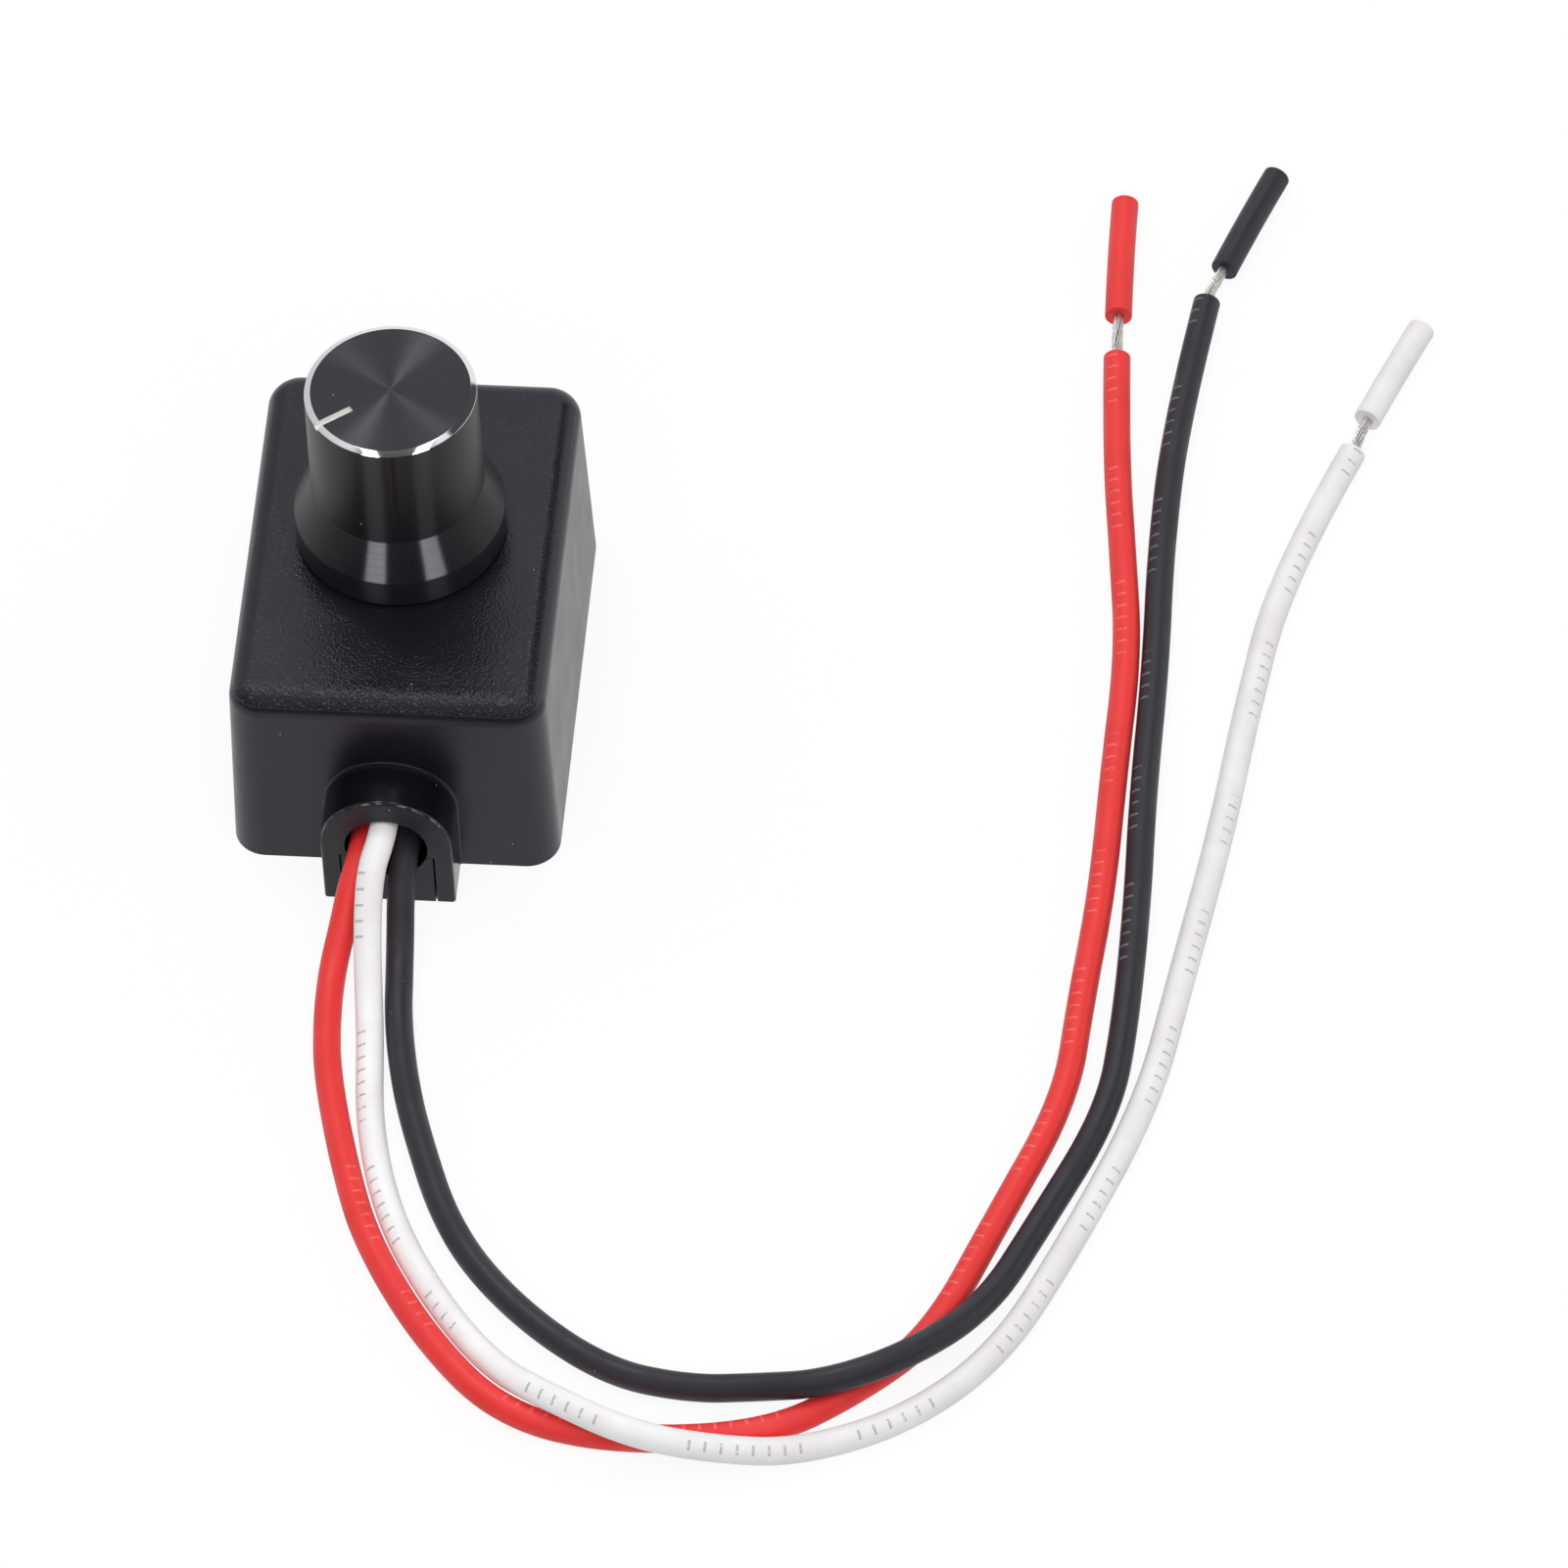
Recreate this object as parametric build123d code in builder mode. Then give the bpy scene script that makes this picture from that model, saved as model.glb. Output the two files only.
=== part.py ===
"""Rotary LED dimmer: a moulded case that lies on a table, a turned knob on a rotary control,
a circuit board that hangs from the control, and three leads through a split cable outlet.

Millimetres, +Z up. The origin is the centre of the case's foot, with the outlet towards -Y.
"""
import os
from math import atan, cos, degrees, pi, radians, sin, tan

from build123d import *

os.makedirs("parts", exist_ok=True)

# Case moulding
case_width = 26.4
case_length = 36.4
case_height = 18.6
case_draft = 0.5           # how far each wall leans in by the top
case_corner = 2.7          # of the upright edges
top_round = 1.9
wall = 1.7
roof = 1.8
inner_corner = 0.9

# Cable outlet: an arched hood on the front wall, closed from below by the cover's tongue
hood_width = 10.6
hood_height = 12.1
hood_reach = 4.0           # out of the front wall's foot
hood_round = 0.3
hood_root = 0.2            # small fillet where the hood meets the wall
outlet_radius = 3.35
outlet_height = 6.5
parting_height = 5.4       # where the tongue's lips meet the hood
parting_gap = 0.05
tongue_width = 7.4
slit = 0.15                # beside the tongue
tongue_root = 3.0          # how far the tongue runs back inside the wall

# Base cover
cover_thickness = 1.6
cover_gap = 0.1
ledge = 0.7                # step in the walls that the cover sits against
clip_width = 5.0
clip_thickness = 1.0
clip_height = 4.2
clip_barb = 0.4
clip_ramp = 1.5            # height of the barb
clip_gap = 0.15
clip_spread = 9.0          # clips before and behind the middle

# Rotary control
axis_x = -0.4
axis_y = 1.2
body_width = 9.6
body_depth = 11.0
body_height = 6.8          # board to roof
front_plate = 1.0
wafer_thickness = 0.6
chamber_radius = 4.3
stop_inner = 3.6
stop_half_angle = 13.0
lug_half_angle = 14.0
lug_gap = 0.25
rotor_radius = 3.3
rotor_gap = 0.2
wiper_thickness = 0.2
wiper_gap = 0.05
wiper_height = 0.7
wiper_margin = 0.2         # inside the rotor's edge
finger_length = 0.6
finger_width = 0.9
track_radius = 2.5
bushing_radius = 3.5
bushing_rise = 3.0         # above the case's top
bushing_fit = 0.1
bushing_break = 0.3        # chamfer at its top
running_gap = 0.04
journal_radius = 2.5
washer_radius = 6.0
washer_thickness = 0.5
nut_across_flats = 10.0
nut_thickness = 2.0
pin_width = 0.8
pin_thickness = 0.4
pin_pitch = 2.5
pin_setback = 4.7          # in front of the axis
pin_tail = 1.0             # below the board

# Shaft and knob
shaft_radius = 3.0
shaft_flat = 1.5           # flat's distance from the axis
shaft_shoulder = 0.3       # above the bushing
shaft_flat_start = 1.5     # above the shoulder
shaft_fit = 0.02
shaft_break = 0.3          # chamfer at its top
knob_gap = 0.3             # above the case's top
skirt_radius = 8.5
skirt_height = 2.8
flare_height = 3.2
waist_radius = 7.0
grip_radius = 6.9
grip_height = 10.5
crown_radius = 6.45
crown_height = 0.2
skirt_break = 0.2
recess_radius = 7.2
recess_height = 3.2
crown_wall = 2.0
core_radius = 5.5
core_roof = 0.5
shaft_end_gap = 0.3
pointer_angle = 216.0      # degrees from +X, seen from above
pointer_start = 3.6
pointer_width = 0.5
pointer_depth = 0.55

# Circuit board and its parts
board_thickness = 1.6
board_gap = 0.4
board_corner = 0.8
pin_hole_radius = 0.6
side_row = 5.3             # the larger parts, in from the board's sides
back_row = 4.8             # can and diode, in from its back edge
front_row = 6.3            # chip and regulator, in from its front edge
small_row = 2.8            # small parts, in from its sides
small_pitch = 3.5
can_radius = 3.15
can_height = 5.4
can_round = 0.4
can_base = 6.6
can_base_height = 0.8
chip_length = 4.9
chip_width = 3.9
chip_height = 1.6
chip_standoff = 0.1
chip_span = 6.0
chip_lead = 0.4
chip_lead_pitch = 1.27
lead_foot = 0.3            # thickness of a chip's leads on the board
regulator_length = 4.5
regulator_width = 2.5
regulator_height = 1.5
regulator_span = 4.5
diode_length = 4.3
diode_width = 2.6
diode_height = 2.2
diode_span = 5.3
transistor_setback = 7.3   # in from the board's back edge
transistor_width = 6.6
transistor_depth = 6.1
transistor_height = 2.3
transistor_tab = 1.2
transistor_tab_width = 5.3
transistor_lead = 2.6
transistor_lead_width = 0.8
transistor_lead_pitch = 4.6
metal_thickness = 0.5
resistor_length = 2.0
resistor_width = 1.25
resistor_height = 0.5
ceramic_length = 3.2
ceramic_width = 1.6
ceramic_height = 1.2

# Leads
wire_diameter = 2.25
strand_diameter = 0.95
lead_pitch = 2.6
lead_start = 12.5          # where the insulation ends under the board, in front of the middle
lead_drop = 1.5            # below the board
lead_straight = 2.0        # first run of the insulation
bend_share = 0.45          # of the shorter run beside it that a bend takes
bare_share = 0.33          # of the gap to the sleeve that runs straight at each end
crossing_rise = 1.15       # lift over another lead, in diameters
tail_length = 2.6
joint_setback = 1.5        # along the tail
joint_radius = 1.2
joint_foot = 0.7
pin_joint_radius = 0.9
pin_joint_height = 0.7
pin_joint_taper = 25.0

# Derived heights
roof_under = case_height - roof
board_top = roof_under - body_height
board_under = board_top - board_thickness
wafer_top = board_top + wafer_thickness
plate_under = roof_under - front_plate
rotor_top = plate_under - rotor_gap
rotor_under = wafer_top + wiper_gap + wiper_height + wiper_thickness
bushing_top = case_height + bushing_rise
shoulder = bushing_top + shaft_shoulder
knob_base = case_height + knob_gap
skirt_top = knob_base + skirt_height
flare_top = skirt_top + flare_height
grip_top = flare_top + grip_height
knob_top = grip_top + crown_height
core_base = knob_base + recess_height
core_top = knob_top - crown_wall
shaft_top = core_top - core_roof - shaft_end_gap
front_y = case_length / 2
draft_angle = degrees(atan(case_draft / case_height))
wire_radius = wire_diameter / 2
strand_radius = strand_diameter / 2
lead_height = board_under - lead_drop

# Axes and planes of the control
spindle = Axis((axis_x, axis_y, 0), (0, 0, 1))
upright = Plane(origin=(axis_x, axis_y, 0), x_dir=(1, 0, 0), z_dir=(0, -1, 0))


def level(height):
    """Horizontal plane with its origin on the knob's axis."""
    return Plane(origin=(axis_x, axis_y, height))


def lean(height):
    """How far a wall has leant in at a height."""
    return case_draft * height / case_height


def on_hood_root(edge):
    """True for the edges where the hood's outside meets the front wall."""
    middle = edge @ 0.5
    on_wall = abs(middle.Y + front_y - lean(middle.Z)) < hood_root
    return on_wall and abs(middle.X) < hood_width and hood_root < middle.Z < hood_height + hood_root


def wedge(angle, half_angle, reach):
    """Corners of a pie slice about the axis, long enough to cross the chamber."""
    edges = [radians(angle - half_angle), radians(angle + half_angle)]
    return [(0, 0)] + [(reach * cos(edge), reach * sin(edge)) for edge in edges]


# Case: drafted block, hollowed from below, with the hood, the outlet and the clips' pockets
clip_top = cover_thickness + clip_height
barb_under = clip_top - clip_ramp
clip_face = case_width / 2 - wall - lean(clip_top) - clip_gap
notch_width = tongue_width + 2 * slit

with BuildPart() as case_shell:
    with BuildSketch(Plane.XY):
        Rectangle(case_width, case_length)
    extrude(amount=case_height, taper=draft_angle)
    uprights = case_shell.edges().filter_by(lambda edge: edge.bounding_box().size.Z > case_height / 2)
    fillet(uprights, radius=case_corner)
    fillet(case_shell.faces().sort_by(Axis.Z)[-1].edges(), radius=top_round)
    with BuildSketch(Plane.XZ.offset(front_y - wall)):
        hood_spring = hood_height - hood_width / 2
        Rectangle(hood_width, hood_spring, align=(Align.CENTER, Align.MIN))
        with Locations((0, hood_spring)):
            Circle(hood_width / 2)
    extrude(amount=wall + hood_reach)
    hood_face = case_shell.faces().sort_by(Axis.Y)[0]
    fillet(hood_face.edges().filter_by(lambda edge: edge.center().Z > hood_round), radius=hood_round)
    root_edges = case_shell.edges().filter_by(on_hood_root)
    fillet(root_edges, radius=hood_root)
    with BuildSketch(Plane.XY):
        RectangleRounded(case_width - 2 * wall, case_length - 2 * wall, inner_corner)
    extrude(amount=roof_under, taper=draft_angle, mode=Mode.SUBTRACT)
    with BuildSketch(Plane.XY):
        RectangleRounded(case_width - 2 * (wall - ledge), case_length - 2 * (wall - ledge), inner_corner)
    extrude(amount=cover_thickness, mode=Mode.SUBTRACT)
    with BuildSketch(Plane.XZ.offset(front_y - wall - tongue_root)):
        Rectangle(notch_width, parting_height + parting_gap, align=(Align.CENTER, Align.MIN))
        with Locations((0, outlet_height)):
            Circle(outlet_radius)
    extrude(amount=wall + tongue_root + hood_reach, mode=Mode.SUBTRACT)
    with BuildSketch(level(roof_under)):
        Circle(bushing_radius + bushing_fit)
    extrude(amount=roof, mode=Mode.SUBTRACT)
    for place in (-clip_spread, clip_spread):
        with BuildSketch(Plane.XZ.offset(place)):
            for side in (-1, 1):
                with Locations((side * (clip_face + clip_barb / 2), (barb_under + clip_top) / 2)):
                    Rectangle(clip_barb + 2 * clip_gap, clip_top - barb_under)
        extrude(amount=clip_width / 2 + clip_gap, both=True, mode=Mode.SUBTRACT)

# Cover: plate in the walls' ledge, tongue with the outlet's lower half, four clips
with BuildPart() as base_cover:
    with BuildSketch(Plane.XY):
        cover_width = case_width - 2 * (wall - ledge + cover_gap)
        cover_length = case_length - 2 * (wall - ledge + cover_gap)
        RectangleRounded(cover_width, cover_length, inner_corner)
    extrude(amount=cover_thickness)
    with BuildSketch(Plane.XZ.offset(front_y - wall - tongue_root)):
        Rectangle(tongue_width, parting_height, align=(Align.CENTER, Align.MIN))
    extrude(amount=wall + tongue_root + hood_reach)
    with BuildSketch(Plane.XZ.offset(front_y - wall - tongue_root)):
        with Locations((0, outlet_height)):
            Circle(outlet_radius)
    extrude(amount=wall + tongue_root + hood_reach, mode=Mode.SUBTRACT)
    for place in (-clip_spread, clip_spread):
        for side in (-1, 1):
            with BuildSketch(Plane.XZ.offset(place)):
                with BuildLine():
                    Polyline(
                        (side * (clip_face - clip_thickness), 0),
                        (side * clip_face, 0),
                        (side * clip_face, barb_under),
                        (side * (clip_face + clip_barb), barb_under),
                        (side * clip_face, clip_top),
                        (side * (clip_face - clip_thickness), clip_top),
                        close=True,
                    )
                make_face()
            extrude(amount=clip_width / 2, both=True)

# Control: cast front plate with the threaded bushing
with BuildPart() as pot_bushing:
    with BuildSketch(level(plate_under)):
        Rectangle(body_width, body_depth)
    extrude(amount=front_plate)
    with BuildSketch(level(roof_under)):
        Circle(bushing_radius)
    extrude(amount=bushing_top - roof_under)
    chamfer(pot_bushing.faces().sort_by(Axis.Z)[-1].edges(), length=bushing_break)
    with BuildSketch(level(plate_under)):
        Circle(journal_radius + running_gap)
    extrude(amount=bushing_top - plate_under, mode=Mode.SUBTRACT)

# Body round the rotor's chamber, with the fixed stop at the front
with BuildPart() as pot_housing:
    with BuildSketch(level(wafer_top)):
        Rectangle(body_width, body_depth)
        Circle(chamber_radius, mode=Mode.SUBTRACT)
    extrude(amount=plate_under - wafer_top)
    with BuildSketch(level(wafer_top)):
        Circle(chamber_radius + lug_gap)
        Circle(stop_inner, mode=Mode.SUBTRACT)
        Polygon(*wedge(270, stop_half_angle, 2 * chamber_radius), align=None, mode=Mode.INTERSECT)
    extrude(amount=plate_under - wafer_top)

with BuildPart() as pot_wafer:
    with BuildSketch(level(board_top)):
        Rectangle(body_width, body_depth)
    extrude(amount=wafer_thickness)

with BuildPart() as pot_terminals:
    with BuildSketch(level(board_under - pin_tail)):
        with Locations((-pin_pitch, -pin_setback), (0, -pin_setback), (pin_pitch, -pin_setback)):
            Rectangle(pin_width, pin_thickness)
    extrude(amount=board_thickness + pin_tail)

# Rotor: disc on the shaft, with a lug that meets the fixed stop at each end of the turn
with BuildPart() as pot_rotor:
    with BuildSketch(level(rotor_under)):
        Circle(chamber_radius - lug_gap)
        Polygon(*wedge(pointer_angle, lug_half_angle, 2 * chamber_radius), align=None, mode=Mode.INTERSECT)
        Circle(rotor_radius)
        Circle(journal_radius, mode=Mode.SUBTRACT)
    extrude(amount=rotor_top - rotor_under)

# Wiper: spring plate under the rotor with two fingers on the track
with BuildPart() as pot_wiper:
    with BuildSketch(level(rotor_under - wiper_thickness)):
        Circle(rotor_radius - wiper_margin)
    extrude(amount=wiper_thickness)
    with BuildSketch(level(wafer_top + wiper_gap)):
        with PolarLocations(track_radius, 2, start_angle=pointer_angle):
            Rectangle(finger_length, finger_width)
    extrude(amount=wiper_height)

# Shaft: journal in the bushing, thicker above it and flat on one side
with BuildPart() as pot_shaft:
    with BuildSketch(level(rotor_under)):
        Circle(journal_radius)
    extrude(amount=shoulder - rotor_under)
    with BuildSketch(level(shoulder)):
        Circle(shaft_radius)
    extrude(amount=shaft_top - shoulder)
    chamfer(pot_shaft.faces().sort_by(Axis.Z)[-1].edges(), length=shaft_break)
    with BuildSketch(level(shoulder + shaft_flat_start)):
        with Locations((0, shaft_flat)):
            Rectangle(2 * shaft_radius, shaft_radius, align=(Align.CENTER, Align.MIN))
    extrude(amount=shaft_top - shoulder, mode=Mode.SUBTRACT)

with BuildPart() as pot_washer:
    with BuildSketch(level(case_height)):
        Circle(washer_radius)
        Circle(bushing_radius + bushing_fit, mode=Mode.SUBTRACT)
    extrude(amount=washer_thickness)

with BuildPart() as pot_nut:
    with BuildSketch(level(case_height + washer_thickness)):
        RegularPolygon(nut_across_flats / 2, 6, major_radius=False)
        Circle(bushing_radius, mode=Mode.SUBTRACT)
    extrude(amount=nut_thickness)

# Knob: turned shell, hollow below for the nut, with a cut pointer line
with BuildPart() as knob_shell:
    with BuildSketch(upright):
        with BuildLine():
            Polyline(
                (recess_radius, knob_base),
                (skirt_radius - skirt_break, knob_base),
                (skirt_radius, knob_base + skirt_break),
                (skirt_radius, skirt_top),
                (waist_radius, flare_top),
                (grip_radius, grip_top),
                (crown_radius, knob_top),
                (0, knob_top),
                (0, core_top),
                (core_radius, core_top),
                (core_radius, core_base),
                (recess_radius, core_base),
                close=True,
            )
        make_face()
    revolve(axis=spindle)
    pointer_way = (cos(radians(pointer_angle)), sin(radians(pointer_angle)), 0)
    with BuildSketch(Plane(origin=(axis_x, axis_y, knob_top), x_dir=pointer_way, z_dir=(0, 0, 1))):
        with Locations((pointer_start, 0)):
            Rectangle(skirt_radius - pointer_start, pointer_width, align=(Align.MIN, Align.CENTER))
    extrude(amount=-pointer_depth, mode=Mode.SUBTRACT)

with BuildPart() as knob_core:
    with BuildSketch(level(core_base)):
        Circle(core_radius)
    extrude(amount=core_top - core_base)
    with BuildSketch(level(core_base)):
        Circle(shaft_radius + shaft_fit)
        with Locations((0, shaft_flat + shaft_fit)):
            Rectangle(3 * shaft_radius, shaft_radius, align=(Align.CENTER, Align.MIN), mode=Mode.SUBTRACT)
    extrude(amount=core_top - core_roof - core_base, mode=Mode.SUBTRACT)
    with BuildSketch(level(core_base)):
        Circle(shaft_radius + shaft_fit)
    extrude(amount=shoulder + shaft_flat_start - core_base, mode=Mode.SUBTRACT)

# Board and what stands on it
board_width = case_width - 2 * (wall + lean(board_top) + board_gap)
board_length = case_length - 2 * (wall + lean(board_top) + board_gap)
row_x = board_width / 2 - side_row
small_x = board_width / 2 - small_row
back_y = board_length / 2 - back_row
near_y = front_row - board_length / 2
can_spot = (row_x, back_y)
diode_spot = (-row_x, back_y)
chip_spot = (-row_x, near_y)
regulator_spot = (row_x, near_y)
transistor_spot = (0, board_length / 2 - transistor_setback)
resistor_spots = [(small_x, place * small_pitch) for place in (-1, 0, 1)]
resistor_spots += [(-small_x, -small_pitch), (0, near_y - small_pitch / 2)]
ceramic_spots = [(-small_x, 0), (-small_x, small_pitch), (0, near_y + small_pitch / 2)]

with BuildPart() as circuit_board:
    with BuildSketch(Plane.XY.offset(board_under)):
        RectangleRounded(board_width, board_length, board_corner)
        with Locations((axis_x - pin_pitch, axis_y - pin_setback), (axis_x, axis_y - pin_setback),
                       (axis_x + pin_pitch, axis_y - pin_setback)):
            Circle(pin_hole_radius, mode=Mode.SUBTRACT)
    extrude(amount=board_thickness)

with BuildPart() as electrolytic_capacitor:
    with BuildSketch(Plane(origin=(*can_spot, board_top))):
        Rectangle(can_base, can_base)
    extrude(amount=can_base_height)
    with BuildSketch(Plane(origin=(*can_spot, board_top))):
        Circle(can_radius)
    extrude(amount=can_height)
    fillet(electrolytic_capacitor.faces().sort_by(Axis.Z)[-1].edges(), radius=can_round)

with BuildPart() as timer_chip:
    with BuildSketch(Plane(origin=(*chip_spot, board_top + chip_standoff))):
        Rectangle(chip_width, chip_length)
    extrude(amount=chip_height - chip_standoff)
    with BuildSketch(Plane(origin=(*chip_spot, board_top))):
        with GridLocations(0, chip_lead_pitch, 1, 4):
            Rectangle(chip_span, chip_lead)
    extrude(amount=lead_foot)

with BuildPart() as voltage_regulator:
    with BuildSketch(Plane(origin=(*regulator_spot, board_top))):
        Rectangle(regulator_length, regulator_width)
    extrude(amount=regulator_height)
    with BuildSketch(Plane(origin=(*regulator_spot, board_top))):
        with GridLocations(regulator_length / 3, 0, 3, 1):
            Rectangle(chip_lead, regulator_span)
    extrude(amount=lead_foot)

with BuildPart() as clamp_diode:
    with BuildSketch(Plane(origin=(*diode_spot, board_top))):
        Rectangle(diode_length, diode_width)
    extrude(amount=diode_height)
    with BuildSketch(Plane(origin=(*diode_spot, board_top))):
        Rectangle(diode_span, diode_width / 2)
    extrude(amount=diode_height / 2)

with BuildPart() as power_transistor:
    metal_plane = Plane(origin=(*transistor_spot, board_under - metal_thickness))
    with BuildSketch(Plane(origin=(*transistor_spot, board_under - transistor_height))):
        Rectangle(transistor_width, transistor_depth)
    extrude(amount=transistor_height)
    with BuildSketch(metal_plane):
        with Locations((0, transistor_depth / 2)):
            Rectangle(transistor_tab_width, transistor_tab, align=(Align.CENTER, Align.MIN))
        for side in (-1, 1):
            with Locations((side * transistor_lead_pitch / 2, -transistor_depth / 2)):
                Rectangle(transistor_lead_width, transistor_lead, align=(Align.CENTER, Align.MAX))
    extrude(amount=metal_thickness)

with BuildPart() as chip_resistors:
    with BuildSketch(Plane.XY.offset(board_top)):
        with Locations(*resistor_spots):
            Rectangle(resistor_length, resistor_width)
    extrude(amount=resistor_height)

with BuildPart() as chip_capacitors:
    with BuildSketch(Plane.XY.offset(board_top)):
        with Locations(*ceramic_spots):
            Rectangle(ceramic_length, ceramic_width)
    extrude(amount=ceramic_height)

# Solder: a fillet round each pin's tail, and one on each lead's tinned end
with BuildPart() as solder_joints:
    for place in (-pin_pitch, 0, pin_pitch):
        with BuildSketch(level(board_under)):
            with Locations((place, -pin_setback)):
                Circle(pin_joint_radius)
        extrude(amount=-pin_joint_height, taper=pin_joint_taper)
        with BuildSketch(level(board_under)):
            with Locations((place, -pin_setback)):
                Rectangle(pin_width, pin_thickness)
        extrude(amount=-pin_joint_height, mode=Mode.SUBTRACT)
    for place in (-lead_pitch, 0, lead_pitch):
        with BuildSketch(Plane(origin=(place, -lead_start, lead_height), z_dir=(0, 1, 0))):
            Circle(strand_radius)
        extrude(amount=tail_length)
        with BuildSketch(Plane(origin=(place, joint_setback - lead_start, board_under))):
            Circle(joint_radius)
        with BuildSketch(Plane(origin=(place, joint_setback - lead_start, lead_height - strand_radius))):
            Circle(joint_foot)
        loft()

# Leads: from the board, out of the outlet and over the table, each to its cut end
on_table = wire_radius
over_red = on_table + crossing_rise * wire_diameter
mouth = -front_y - hood_reach
lead_turn = -lead_start - lead_straight
red_route = [
    (-lead_pitch, -lead_start, lead_height), (-lead_pitch, lead_turn, lead_height),
    (-2.1, mouth + 5.2, outlet_height - 0.6), (-1.9, mouth + 2.4, outlet_height - 0.4),
    (-1.9, mouth - 0.5, outlet_height - 0.2), (-2.6, mouth - 3.0, 5.0), (-3.1, mouth - 5.3, 3.0),
    (-3.7, mouth - 8.8, 1.6), (-3.7, -35.5, on_table), (-3.1, -41.2, on_table), (-0.7, -50.6, on_table),
    (1.8, -57.9, on_table), (7.2, -66.9, on_table), (13.8, -74.0, on_table), (22.6, -76.2, on_table),
    (34.8, -75.0, on_table), (41.8, -70.0, on_table), (47.1, -64.5, on_table), (51.3, -52.7, on_table),
    (55.8, -40.4, on_table), (56.3, -30.4, on_table), (57.2, -19.2, on_table), (57.3, -6.5, on_table),
    (57.6, 6.0, on_table), (56.4, 16.5, on_table), (55.1, 27.3, on_table), (54.5, 37.4, on_table),
]
black_route = [
    (lead_pitch, -lead_start, lead_height), (lead_pitch, lead_turn, lead_height),
    (2.1, mouth + 5.2, outlet_height - 0.6), (1.7, mouth + 2.4, outlet_height - 0.7),
    (1.4, mouth - 0.1, outlet_height - 0.8), (1.4, mouth - 3.2, 4.4), (1.5, mouth - 5.4, 2.6),
    (1.7, mouth - 8.8, 1.5), (2.0, -35.2, on_table), (2.9, -40.4, on_table), (4.3, -45.8, on_table),
    (8.1, -56.4, on_table), (14.0, -63.8, on_table), (21.7, -69.5, on_table), (28.5, -70.8, on_table),
    (33.8, -70.9, 1.9), (39.2, -71.6, over_red), (45.5, -68.5, over_red), (51.1, -61.7, 1.6),
    (54.6, -53.0, on_table), (59.3, -41.5, on_table), (60.0, -31.8, on_table), (60.1, -19.7, on_table),
    (59.8, -9.4, on_table), (59.9, 5.0, on_table), (59.5, 16.5, on_table), (59.8, 30.4, on_table),
    (61.5, 43.9, on_table),
]
white_route = [
    (0.0, -lead_start, lead_height), (0.0, lead_turn, lead_height),
    (0.0, mouth + 5.0, outlet_height + 0.6), (-0.1, mouth + 2.2, outlet_height + 1.7),
    (-0.2, mouth - 0.7, outlet_height + 2.0), (-0.9, mouth - 3.2, 7.4), (-0.9, mouth - 6.8, 5.0),
    (-0.6, mouth - 10.3, 2.6), (0.0, -37.5, 1.3), (0.8, -46.6, on_table), (3.4, -55.7, on_table),
    (7.9, -63.5, on_table), (12.8, -69.7, 1.5), (17.2, -73.6, 3.4), (24.5, -77.4, over_red),
    (31.0, -77.5, 2.4), (37.5, -76.5, on_table), (45.8, -72.8, on_table), (52.5, -65.9, on_table),
    (57.1, -55.1, on_table), (62.3, -40.6, on_table), (64.1, -27.8, on_table), (66.3, -12.9, on_table),
    (67.5, -0.5, on_table), (69.5, 14.8, on_table), (74.5, 28.2, on_table),
]
# Mouth and far end of each loose tip sleeve
red_tip = [(54.3, 42.0, on_table), (54.0, 54.4, on_table)]
black_tip = [(62.7, 47.6, on_table), (66.4, 58.1, on_table)]
white_tip = [(75.5, 31.8, on_table), (79.4, 41.9, on_table)]


def bend_radii(points):
    """Radius at each inner point: the arc takes a set share of the shorter run beside it."""
    stops = [Vector(*point) for point in points]
    radii = []
    for before, here, after in zip(stops, stops[1:], stops[2:]):
        turn = radians((here - before).get_angle(after - here))
        run = min((here - before).length, (after - here).length)
        radii.append(bend_share * run / tan(turn / 2))
    return radii


def bare_route(route, tip):
    """Conductor's way from the lead's cut end, along the sleeve's axis, to its own end inside it."""
    before, end = Vector(*route[-2]), Vector(*route[-1])
    near, far = Vector(*tip[0]), Vector(*tip[1])
    gap = (near - end).length
    out_way = (end - before).normalized()
    in_way = (far - near).normalized()
    straight = bare_share * gap
    return [end, end + out_way * straight, near - in_way * straight, far - in_way * gap]


def rod(points, radius):
    """Round rod along straight runs joined by tangent arcs, with its radii and volume reported."""
    with BuildPart() as made:
        with BuildLine() as path:
            FilletPolyline(*points, radius=bend_radii(points))
        with BuildSketch(Plane(origin=path.line @ 0, z_dir=path.line % 0)):
            Circle(radius)
        sweep(path=path.line)
    length = path.wire().length
    print("radii", [round(value, 1) for value in bend_radii(points)])
    print("length %.1f, volume / (section x length) %.4f"
          % (length, made.part.volume / (pi * radius**2 * length)))
    return made


def sleeve(tip):
    """Loose piece of insulation on the conductor."""
    near, far = Vector(*tip[0]), Vector(*tip[1])
    with BuildPart() as made:
        with BuildSketch(Plane(origin=near, z_dir=far - near)):
            Circle(wire_radius)
            Circle(strand_radius, mode=Mode.SUBTRACT)
        extrude(amount=(far - near).length)
    return made


red_wire = rod(red_route, wire_radius)
black_wire = rod(black_route, wire_radius)
white_wire = rod(white_route, wire_radius)
red_strand = rod(bare_route(red_route, red_tip), strand_radius)
black_strand = rod(bare_route(black_route, black_tip), strand_radius)
white_strand = rod(bare_route(white_route, white_tip), strand_radius)
red_sleeve = sleeve(red_tip)
black_sleeve = sleeve(black_tip)
white_sleeve = sleeve(white_tip)

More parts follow.
